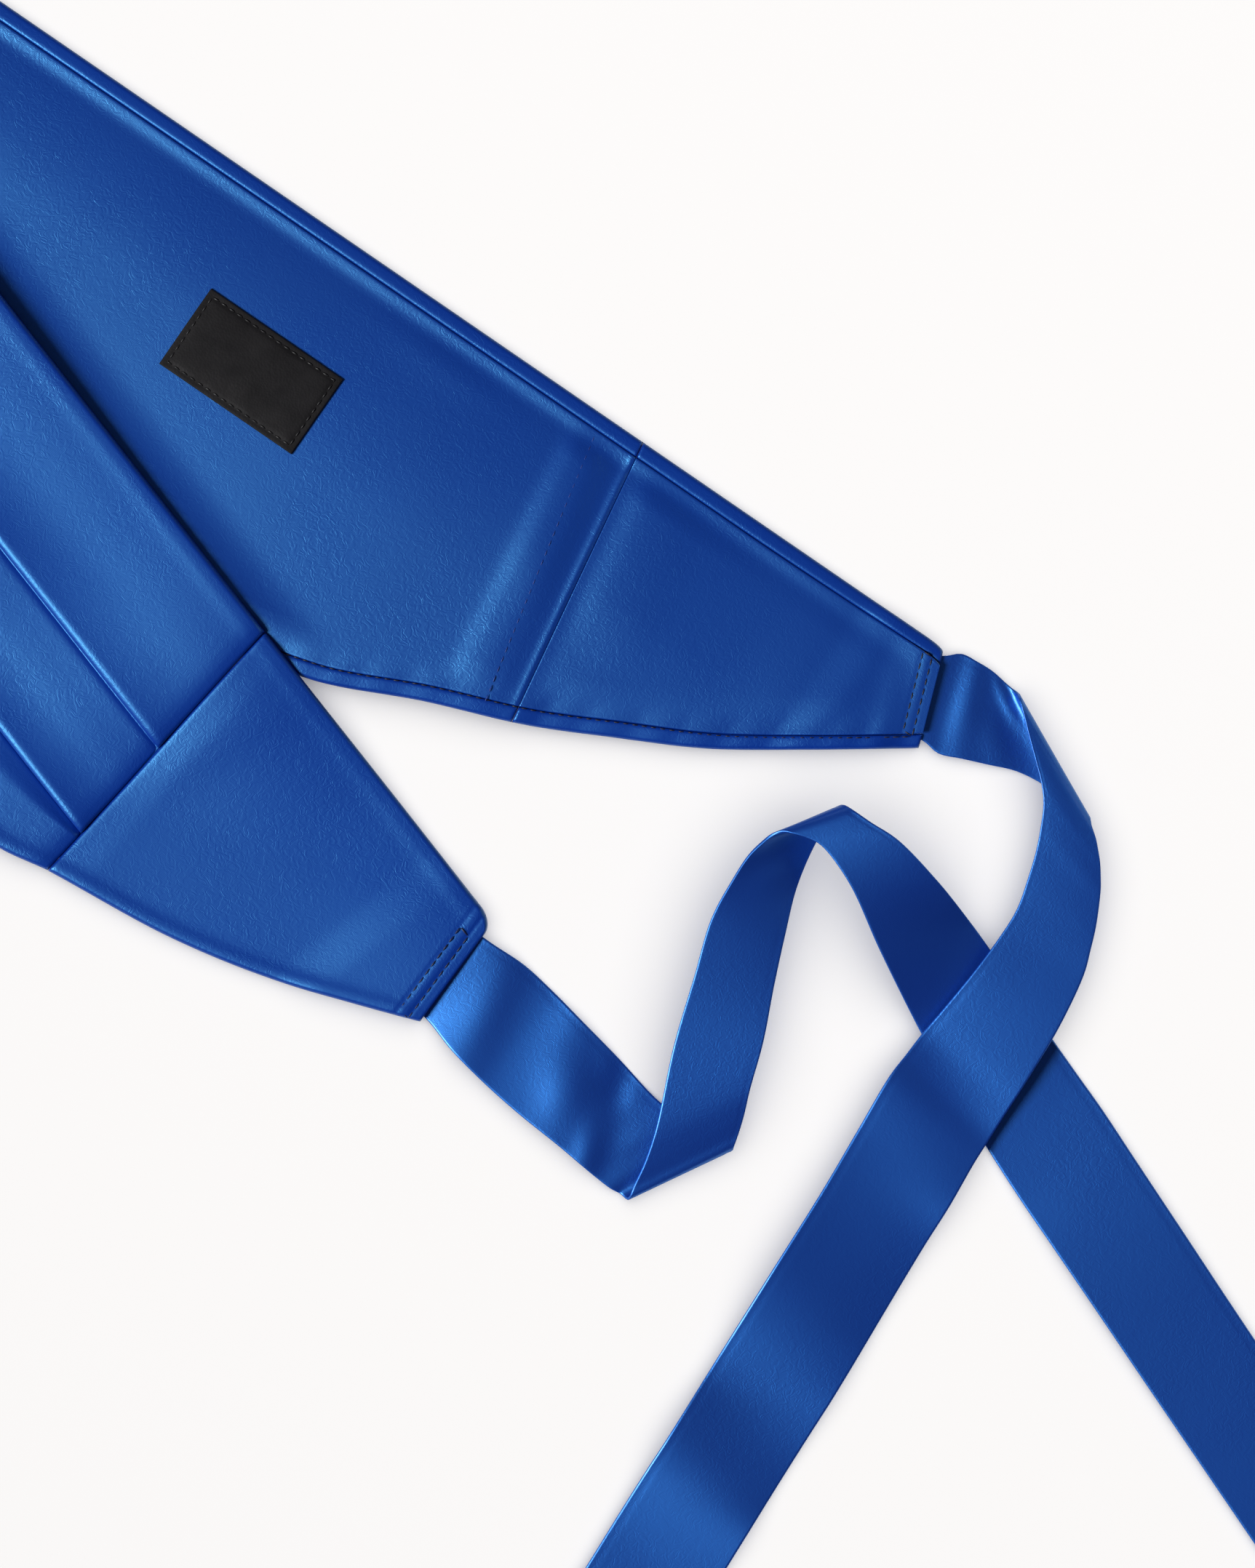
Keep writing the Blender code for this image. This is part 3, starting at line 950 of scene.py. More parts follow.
    def underside(self, along: Array, across: Array) -> Array:
        """Height of the top half's underside.

        Args:
            along: distance from the fold's corner.
            across: distance from the straight edge.

        Returns:
            The height above the floor.
        """
        u, v = self.crossed(self.over, self.under, along, across)
        rest = (self.stack + self.seam_gap) * self.drop.at(v - self.outline.at(-u))
        rest = np.where(u > self.under.tip - self.overhang, 0.0, rest)
        reach = along * math.cos(self.half_turn) - across * math.sin(self.half_turn)
        spring = 2.0 * self.fold_radius - 2.0 * self.stack - self.seam_gap
        lift = self.edge_lift.at(across) * self.lift_start.at(reach) * self.lift_end.at(reach)
        return rest + spring * self.relax.at(reach) + lift + self.side_lift.at(along)

    def cover(self, along: Array, across: Array) -> Array:
        """How far the top half covers a point of the lower one, 0 to 1."""
        u, v = self.crossed(self.under, self.over, along, across)
        return self.cover_edge.at(v) * self.cover_tip.at(u - self.over.tip)

    def curl(self, start: Array, across: Array) -> Array:
        """Lift of the lower half off the floor toward its curved edge.

        Args:
            start: the lines' places on the straight edge.
            across: distance from the straight edge.

        Returns:
            The lift in millimetres.
        """
        place = np.abs(start)
        slant = np.interp(place, (0.0, self.under.seam), (-self.fold_slant, self.seam_slant))
        reach = self.curl_reach.at(place)
        lift = 0.5 * self.curl_slope.at(place) * reach * lip(across - self.curl_start, reach)
        lift = lift * (1.0 - self.pressed * self.cover(place + slant * across, across))
        return lift * self.calm_tip.at(place - self.under.tip) * self.curl_near_fold.at(place)

    def climb(self, along: Array, across: Array) -> Array:
        """How far the lower half climbs toward the top half's straight edge, 0 to 1."""
        u, v = self.crossed(self.under, self.over, along, across)
        return np.square(np.clip(v / self.climb_width + 1.0, 0.0, 1.0)) * self.climb_end.at(u)

    def corner_cut(self, start: Array) -> Array:
        """How far the straight edge's corner is cut back near a tip.

        Args:
            start: the lines' places on the straight edge.

        Returns:
            The cut, 0 away from the tips.
        """
        deep = np.where(start > 0, self.over.corner, self.under.corner)
        left = self.tip_at(start) - np.abs(start)
        return deep / self.tip_round * round_off(left, self.tip_round)


FIRST_GUESS, GUESSES = 120.0, 12


@dataclass(frozen=True)
class Lines:
    """Lines across the band from its straight edge to its curved one, a mesh row each.

    Turn is a line's angle round the fold, and not a number where the line lies in a flat half.
    """

    plan: BandPlan
    start: Array
    slant: Array
    turn: Array
    over: Array

    @staticmethod
    def flat(plan: BandPlan, start: Array, slant: Array) -> "Lines":
        """Lines of one flat half; start is negative on the half lying face down."""
        return Lines(plan, start, slant, np.full(len(start), np.nan), start > 0)

    @staticmethod
    def bend(plan: BandPlan, degrees: Array) -> "Lines":
        """Lines round the fold, from -90 at the floor to 90 on top.

        Args:
            plan: the band's plan.
            degrees: the lines' angles.

        Returns:
            The lines.
        """
        n = len(degrees)
        slants = np.full(n, plan.fold_slant)
        return Lines(plan, np.zeros(n), slants, np.radians(degrees), degrees > 0)

    def then(self, other: "Lines") -> "Lines":
        """These lines followed by others.

        Args:
            other: the lines that follow.

        Returns:
            All of them.
        """
        fields = ("start", "slant", "turn", "over")
        joined = (np.concatenate([getattr(self, f), getattr(other, f)]) for f in fields)
        return Lines(self.plan, *joined)

    @property
    def laid(self) -> Array:
        """Which lines lie in a flat half."""
        return np.isnan(self.turn)

    @property
    def width(self) -> Array:
        """Length of each line, found by stepping toward the curved edge."""
        width = np.full(len(self.start), FIRST_GUESS)
        for _ in range(GUESSES):
            width = self.plan.outline.at(self.start + self.slant * width)
        return width

    @property
    def cut(self) -> Array:
        """How far each line's start is cut back at a tip's corner."""
        return np.where(self.laid, self.plan.corner_cut(self.start), 0.0)

    @property
    def face_up(self) -> Array:
        """How far the band's outer face points up on each line, as a column."""
        bend = soft((np.nan_to_num(self.turn) + math.pi / 2.0) / math.pi)
        return np.where(self.laid, self.over.astype(float), bend)[:, None]

    def along(self, across: Array) -> Array:
        """Distance along the band of points on the lines."""
        return self.start[:, None] + self.slant[:, None] * across

    def place(self, across: Array, depth: Array) -> Array:
        """Points at depths below the band's outer face.

        Args:
            across: distances from the straight edge, a row per line.
            depth: depths, a row per line.

        Returns:
            The points, in millimetres.
        """
        p = self.plan
        along = self.along(across)
        x, y = p.plan(p.under, -along, across)
        curl = p.curl(self.start[:, None], across)
        under = np.stack([x, y, np.maximum(depth, ABOVE_FLOOR) + curl], axis=-1)
        x, y = p.plan(p.over, along, across)
        top = p.underside(along, across) + p.stack + p.pocket(along)
        over = np.stack([x, y, top - depth], axis=-1)
        r = p.fold_radius - depth
        turn = np.nan_to_num(self.turn)[:, None]
        span = across / math.cos(p.half_turn)
        out = -r * np.cos(turn)
        c, s = math.cos(p.bisector), math.sin(p.bisector)
        x, y = p.corner[0] + s * span + c * out, p.corner[1] - c * span + s * out
        bend = np.stack([x, y, p.fold_radius + r * np.sin(turn)], axis=-1)
        flat = np.where(self.over[:, None, None], over, under)
        return np.where(self.laid[:, None, None], flat, bend)


SEAM_STEPS = (0.0, 0.15, 0.35, 0.6, 0.9, 1.3, 1.9, 2.7, 3.8)


def seam_steps(start: float, end: float, coarse: float, fine: float, reach: float) -> Array:
    """Places from a seam inwards: close together at the seam, then fine, then coarse.

    Args:
        start: place of the seam.
        end: last place.
        coarse: spacing far from the seam.
        fine: spacing within reach of it.
        reach: how far from the seam the fine spacing goes.

    Returns:
        The places, from start to end.
    """
    sign = 1.0 if end > start else -1.0
    length = abs(end - start)
    near = [x for x in SEAM_STEPS if x < length]
    last = near[-1]
    mid_end = min(reach, length)
    mid = np.linspace(last, mid_end, max(1, math.ceil((mid_end - last) / fine)) + 1)[1:]
    far = np.linspace(mid_end, length, max(1, math.ceil((length - mid_end) / coarse)) + 1)[1:]
    far = far[far > mid_end + 1e-6]
    return start + sign * np.concatenate([near, mid, far])


# ---------------------------------------------------------------- cloth of the band


@dataclass(frozen=True)
class Drape:
    """Lie of the band's cloth: how its faces swell, dip and pucker."""

    plan: BandPlan

    # Pleats: the room they keep before the curved rim, the puff and roll of each edge, and the
    # cloth past it.
    pleat_edges: tuple[float, ...] = (46.8, 81.3, 116.0)
    pleat_room: float = 6.0
    pleat_packing: float = 2.0
    pleat_end: float = 10.0
    pleat_puff: float = 1.75
    pleat_lead: float = 1.5
    pleat_reach: float = 21.0
    pleat_roll: float = 3.0
    pleat_drop: float = 1.25
    pleat_past: float = 17.0
    pleat_fall: Fall = Fall(Fade(0.0, 17.0, 1.05, 0.0), 1.05, 0.85)

    # Seams and tips of the front.
    centre_fall: Fall = Fall(Fade(0.0, 5.0, 0.55, 0.0), 0.5, 0.7)
    side_fall: Fall = Fall(Fade(0.0, 11.0, 0.45, 0.0), 0.55, 0.6)
    side_dip: float = 1.0
    side_dip_start: float = 2.5
    side_dip_length: float = 40.0
    tip_flat: Fade = Fade(0.0, 9.0)
    tip_swell: Fade = Fade(0.0, 8.0, 0.5, 1.0)
    tip_rise: Fade = Fade(-19.0, 16.0, 0.0, 1.3)

    # Rolled rims, gathers and rows of stitches.
    hem_ridge: Crest = Crest(3.6, 2.9, 0.20)
    curved_hem_ridge: Crest = Crest(2.2, 2.6, 0.42)
    rim_narrowing: Fade = Fade(-70.0, 70.0, 0.0, 0.9)
    rim_roll: Fade = Fade(0.9, 3.6, 0.28, 0.0)
    rim_groove: float = 0.75
    rim_groove_width: float = 0.9
    curved_rim_sink: float = 0.2
    rim_gather: float = 0.8
    lining_gather: Crest = Crest(1.2, 3.4, 0.7)
    stitch_dent: Crest = Crest(0.0, 0.5, 0.22)
    between_rows: Crest = Crest(0.0, 1.2, 0.08)

    lining_swells: tuple[Swell, ...] = read_table(
        Swell,
        (
            ("along", "across", "half_length", "half_width", "turn", "rise"),
            (352.0, 14.0, 22.0, 7.0, 0.0, 0.4),
            (300.0, 70.0, 60.0, 34.0, 0.0, 0.6),
            (498.0, 26.0, 17.0, 26.0, 0.0, 0.5),
            (503.0, 48.0, 18.0, 18.0, 0.0, 0.7),
        ),
    )
    front_swells: tuple[Swell, ...] = read_table(
        Swell,
        (
            ("along", "across", "half_length", "half_width", "turn", "rise"),
            (385.0, 48.0, 7.5, 60.0, 9.0, 0.25),
            (482.0, 10.0, 36.0, 34.0, 0.0, 1.8),
        ),
    )
    puckers: tuple[Crest, ...] = read_table(
        Crest,
        (
            ("place", "half_width", "height"),
            (338.0, 3.6, 0.35), (349.0, 2.6, 0.20), (361.0, 4.0, 0.40), (374.0, 3.0, 0.28),
            (384.0, 2.4, 0.34), (397.0, 3.4, 0.42), (409.0, 2.2, 0.25), (424.0, 3.8, 0.40),
            (436.0, 2.6, 0.30), (447.0, 3.4, 0.24), (461.0, 4.2, 0.38), (473.0, 2.4, 0.26),
            (485.0, 3.2, 0.40), (497.0, 2.6, 0.22), (509.0, 3.0, 0.36), (519.0, 2.2, 0.26),
        ),
    )
    pressed_seam: SmoothTable = SmoothTable(
        (
            (-34.0, 0.00), (-26.0, 0.03), (-22.6, 0.10), (-20.8, 0.38), (-19.2, 0.66),
            (-17.2, 0.80), (-14.0, 0.86), (-11.4, 0.83), (-9.6, 0.62), (-4.4, 0.04),
            (-2.9, 0.02), (-1.5, 0.17), (0.0, 0.11), (2.0, 0.20), (4.0, 0.42),
            (6.0, 0.70), (8.0, 0.90), (10.0, 0.99), (14.0, 1.02), (20.0, 0.93),
            (30.0, 0.62), (45.0, 0.30), (60.0, 0.14), (90.0, 0.00),
        )
    )

    # Lining: strength of its pressed seam across the band, and what its edges do.
    seam_strength: Fade = Fade(44.0, 22.0, 1.6, 1.0)
    climb_height: float = 2.2
    lining_edge: Fade = Fade(0.0, 11.0)
    straight_crest: Fade = Fade(5.6, 3.6, 1.0, 0.0)
    straight_crest_height: Fade = Fade(470.0, 36.0, 0.30, 0.0)

    def pucker(self, along: Array) -> Array:
        """Depth of the gathers along the curved edge of the half lying face down."""
        return sum(gather.at(np.abs(along)) for gather in self.puckers)

    def rim_of(self, along: Array) -> Array:
        """Width of the rolled rim."""
        return self.plan.rim - self.rim_narrowing.at(np.abs(along) - self.plan.tip_at(along))

    def lining_rise(self, along: Array, across: Array, start: Array, width: Array) -> Array:
        """Rise of the lining that shows on the half lying face down.

        Args:
            along: distance from the fold's corner, positive.
            across: distance from the straight edge.
            start: the lines' places on the straight edge, positive.
            width: the lines' lengths.

        Returns:
            The rise above the lining's resting height.
        """
        p = self.plan
        cover = p.cover(along, across)
        seam = self.seam_strength.at(across) * self.pressed_seam.at(start - p.under.seam)
        rise = total_height(self.lining_swells, along, across) + seam
        rise = rise + self.climb_height * p.climb(along, across)
        near = np.minimum(across, width - across) - p.rim
        rise = rise * self.lining_edge.at(near) * (1.0 - p.pressed * cover)
        crest = self.straight_crest_height.at(start) * self.straight_crest.at(across)
        rise = rise + crest * (1.0 - cover)
        left = start - p.under.tip
        return rise * p.calm_tip.at(left) + self.tip_rise.at(left)

    def stitched_rows(self, left: Array, rows: Sequence[float]) -> Array:
        """Dents pressed by rows of stitches.

        Args:
            left: distance to the tip's end.
            rows: the rows' distances from the end.

        Returns:
            The dent's depth.
        """
        dent = sum(self.stitch_dent.at(left - row) for row in rows)
        return dent - self.between_rows.at(left - sum(rows) / len(rows))


@dataclass
class BandPiece:
    """One cut piece of the band: its lines, its columns and its two faces."""

    name: str
    drape: Drape
    lines: Lines

    @property
    def plan(self) -> BandPlan:
        """The band's plan."""
        return self.drape.plan

    def end_round(self, radius: float) -> Array:
        """Rounding of the two ends of the piece, as a column of drops.

        Args:
            radius: radius of the rounding.

        Returns:
            A drop for each line.
        """
        lines = self.lines
        start = np.abs(lines.start)
        ends = []
        for end in (0, -1):
            same = lines.over == lines.over[end]
            inside = np.where(lines.laid & same, np.abs(start - start[end]), radius)
            ends.append(round_off(inside, radius))
        return np.maximum(*ends)[:, None]

    def rims(self) -> tuple[Array, Array]:
        """Where each line leaves the straight rim, and where it meets the curved one.

        Returns:
            Both distances from the straight edge, for each line.
        """
        lines, rim_of = self.lines, self.drape.rim_of
        width = lines.width
        return lines.cut + rim_of(lines.start), width - rim_of(lines.start + lines.slant * width)

    @staticmethod
    def fit(canonical: Array, marks: Sequence[float], places: Sequence[Array]) -> Array:
        """Fit a set of columns to every line.

        Args:
            canonical: columns on a band of full width.
            marks: the features' places there.
            places: each feature's places on the lines.

        Returns:
            The columns' places, a row per line.
        """
        return np.stack([np.interp(canonical, marks, row) for row in np.stack(places, axis=1)])

    def close(self, across: Array, outer: Array, inner: Array) -> bpy.types.Object:
        """Make the piece's mesh from its two faces.

        Args:
            across: distances from the straight edge, a row per line.
            outer: depths of the face toward the band's outside.
            inner: depths of the other face.

        Returns:
            The new object.
        """
        place = self.lines.place
        flat = np.stack([self.lines.along(across), across], axis=-1)
        return shell(self.name, place(across, outer), place(across, inner), flat)


RIM_STEPS = [2.0, 2.8, 3.6, 4.2, 4.6, 4.85, 5.0, 5.06, 5.4, 6.2, 7.4, 9.0, 11.0]
PLEAT_BEFORE = (-16, -13.5, -11, -9, -7.2, -5.7, -4.5, -3.6, -2.9, -2.3, -1.8, -1.3, -0.85)
PLEAT_PAST = (-0.5, -0.22, -0.06, 0.0, 0.3, 0.7, 1.2, 1.9, 2.9, 4.4, 6.5, 9.5, 13.5)
LAST_PLEAT_PAST = PLEAT_PAST[:8]
FAR_AWAY = 1000.0


@dataclass
class FrontPiece(BandPiece):
    """A piece of the front, its rims rolled over to the lining side."""

    pleated: bool = False
    edge_radius: float = 1.45
    end_radius: float = 0.8
    pleated_gap: float = 4.2
    plain_gap: float = 2.6
    least_wall: float = 0.12

    @property
    def pleat_edges(self) -> tuple[float, ...]:
        """Places of the piece's pleats."""
        return self.drape.pleat_edges if self.pleated else ()

    def columns(self) -> Array:
        """Columns on a band of full width.

        Returns:
            Distances from the straight edge.
        """
        r, full = self.edge_radius, self.plan.full_width
        arc = [r * (1.0 - math.cos(math.radians(a))) for a in range(0, 91, 15)]
        features = both_edges(full, arc + RIM_STEPS)
        for edge in self.pleat_edges:
            past = PLEAT_PAST if edge < self.pleat_edges[-1] else LAST_PLEAT_PAST
            features.append((edge, PLEAT_BEFORE + past))
        made = columns(features, self.pleated_gap if self.pleated else self.plain_gap)
        return made[(made >= 0.0) & (made <= full)]

    def room_for(self, k: int, width: Array) -> Array:
        """Place of a pleat's edge on each line, moved in where the band gets too narrow.

        Args:
            k: which pleat, counted from the straight edge.
            width: the lines' lengths.

        Returns:
            The pleat's distance from the straight edge.
        """
        d, p = self.drape, self.plan
        packed = (len(d.pleat_edges) - 1 - k) * d.pleat_packing
        return np.minimum(d.pleat_edges[k], width - p.rim - d.pleat_room - packed)

    def pleats(self, canonical: Array, width: Array) -> Array:
        """Depth of the pleats below the outer face; negative where they puff up.

        Args:
            canonical: the columns on a band of full width.
            width: the lines' lengths.

        Returns:
            A row of depths per line.
        """
        d = self.drape
        depth = np.zeros((len(width), len(canonical)))
        for edge in self.pleat_edges:
            x = (edge - canonical)[None, :]
            room = width - self.plan.rim - d.pleat_room - edge
            lost = soft(-room / d.pleat_end)[:, None]
            near = x < d.pleat_reach + d.pleat_lead
            puff = d.pleat_puff * (1.0 - lip(x - d.pleat_lead, d.pleat_reach)) * near
            roll = d.pleat_drop / d.pleat_roll * round_off(np.abs(x), d.pleat_roll)
            past = np.where(x > -d.pleat_past, d.pleat_fall.at(np.maximum(-x, 0.0)), 0.0)
            depth = depth + np.where(x >= 0.0, roll - puff, past) * (1.0 - lost)
        return depth

    def lie(self, canonical: Array, near: Array, far: Array) -> Array:
        """How deep the outer face lies where it shows.

        Args:
            canonical: the columns on a band of full width.
            near: distances from the straight edge, a row per line.
            far: distances from the curved edge.

        Returns:
            Depths below the resting face.
        """
        p, d, lines = self.plan, self.drape, self.lines
        start = np.abs(lines.start)[:, None]
        lie = -d.hem_ridge.at(near) - d.curved_hem_ridge.at(far)
        if self.pleated:
            to_seam = np.where(lines.over[:, None], p.over.seam - start, FAR_AWAY)
            return lie + self.pleats(canonical, lines.width) + d.centre_fall.at(to_seam)
        lie = lie + d.side_fall.at(start - p.over.seam)
        lie = lie + d.side_dip * (1.0 - lip(near - d.side_dip_start, d.side_dip_length))
        left = (p.over.tip - start) * p.over.lean
        return lie * d.tip_flat.at(left) + d.stitched_rows(left, p.over.rows)

    def build(self) -> bpy.types.Object:
        """Make the piece's mesh.

        Returns:
            The new object.
        """
        p, d, lines = self.plan, self.drape, self.lines
        full = p.full_width
        canonical = self.columns()
        width = lines.width
        pleats = [self.room_for(k, width) for k in range(len(self.pleat_edges))]
        marks = (0.0, p.rim, *self.pleat_edges, full - p.rim, full)
        rim_end, rim_start = self.rims()
        across = self.fit(canonical, marks, (lines.cut, rim_end, *pleats, rim_start, width))
        along = lines.along(across)
        near, far = across - lines.cut[:, None], width[:, None] - across
        edge = round_off(np.minimum(near, far), self.edge_radius)
        end = self.end_round(self.end_radius)
        up = lines.face_up

        swell = total_height(d.front_swells, along, across) * lines.over[:, None]
        if not self.pleated:
            left = (p.over.tip - np.abs(lines.start)[:, None]) * p.over.lean
            swell = swell * d.tip_swell.at(left)
        outer = edge + end + up * (self.lie(canonical, near, far) - swell)

        down = 1.0 - up
        to_seam = np.minimum(np.abs(canonical - p.rim), np.abs(canonical - full + p.rim))
        roll = d.rim_roll.at(to_seam) - d.curved_rim_sink * down * (near > far)
        gather = d.rim_gather * d.pucker(along) * (canonical > full / 2.0)
        showing = p.stack + p.pocket(along) * lines.laid[:, None] - edge + down * (roll - gather)
        groove = d.rim_groove * round_off(to_seam, d.rim_groove_width)
        rolled = (canonical <= p.rim) | (canonical >= full - p.rim)
        inner = np.where(rolled, showing - groove, p.front_wall) - end
        return self.close(across, outer, np.maximum(inner, outer + self.least_wall))


@dataclass
class LiningPiece(BandPiece):
    """A piece of the lining."""

    gap: float = 2.2
    edge_radius: float = 0.48
    end_radius: float = 0.18
    rim_gap: float = 0.12
    least_wall: float = 0.06
    front_gap: float = 0.2
    steps: tuple[float, ...] = (
        0.0, 0.04, 0.12, 0.25, 0.48, 0.9, 1.5, 2.3, 3.4, 4.8, 6.4, 8.4, 10.6, 13.0
    )
    full_width: float = 100.0
    edge_share: float = 0.35
    topstitch: tuple[float, float] = (399.9, 404.7)
    topstitch_span: float = 91.0
    topstitch_dent: Crest = Crest(0.0, 0.5, 0.14)
    seam_crest: Crest = Crest(-1.2, 0.7, 0.22)
    seam_nick: float = 0.05
    seam_nick_length: float = 0.45
    row_dent: float = 0.5

    def showing(self, along: Array, across: Array, start: Array, width: Array) -> Array:
        """Depth of the lining's showing face on the half lying face down.

        Args:
            along: distance from the fold's corner.
            across: distance from the straight edge.
            start: the lines' places on the straight edge, positive.
            width: the lines' lengths.

        Returns:
            Depths below the band's outer face.
        """
        p, d = self.plan, self.drape
        depth = p.stack + p.pocket(-np.abs(along))
        depth = depth + d.lining_rise(np.abs(along), across, start, width)
        return depth - d.pucker(along) * d.lining_gather.at(width - p.rim - across)

    def on_face(
        self, along: Array, across: Array, start: Array, width: Array, above: float
    ) -> Array:
        """Points over the showing face.

        Args:
            along: distance from the fold's corner.
            across: distance from the straight edge.
            start: places on the straight edge of the lines through the points.
            width: those lines' lengths.
            above: height over the face, negative in a dent.

        Returns:
            The points, in millimetres.
        """
        p = self.plan
        height = self.showing(along, across, start, width) + p.curl(start, across) + above
        return np.stack([*p.plan(p.under, along, across), height], axis=-1)

    def build(self) -> bpy.types.Object:
        """Make the piece's mesh.

        Returns:
            The new object.
        """
        p, lines = self.plan, self.lines
        full, zone = self.full_width, self.steps[-1]
        canonical = columns(both_edges(full, self.steps), self.gap)
        rim_end, rim_start = self.rims()
        lo, hi = rim_end + self.rim_gap, rim_start - self.rim_gap
        room = np.minimum(zone, (hi - lo) * self.edge_share)
        marks = (0.0, zone, full - zone, full)
        across = self.fit(canonical, marks, (lo, lo + room, hi - room, hi))
        along = lines.along(across)
        edge = round_off(np.minimum(across - lo[:, None], hi[:, None] - across), self.edge_radius)
        rounding = edge + self.end_round(self.end_radius)
        start, laid = np.abs(lines.start)[:, None], lines.laid[:, None]
        shows = laid & ~lines.over[:, None]
        face = self.showing(along, across, start, lines.width[:, None])
        far = np.where(shows, face, p.stack + p.pocket(along) * laid)
        far = far - self.details(start, across) * shows
        inner = far - rounding
        outer = np.maximum(far - p.lining_wall, p.front_wall + self.front_gap) + rounding
        return self.close(across, np.minimum(outer, inner - self.least_wall), inner)

    def details(self, start: Array, across: Array) -> Array:
        """Fine dents of seams and stitching in the showing face.

        Args:
            start: the lines' places on the straight edge, positive.
            across: distance from the straight edge.

        Returns:
            Depths of the dents, negative where a crest stands up.
        """
        half = self.plan.under
        sewn = self.topstitch_dent.at(start - self.topstitch_at(across))
        seam = self.seam_nick * np.exp(-np.abs(start - half.seam) / self.seam_nick_length)
        crest = self.seam_crest.at(start - half.seam)
        rows = self.drape.stitched_rows((half.tip - start) * half.lean, half.rows)
        return sewn + seam - crest + self.row_dent * rows

    def topstitch_at(self, across: Array) -> Array:
        """Place of the topstitching on the straight edge, for a distance across."""
        return mix(*self.topstitch, across / self.topstitch_span)


# ---------------------------------------------------------------- ties


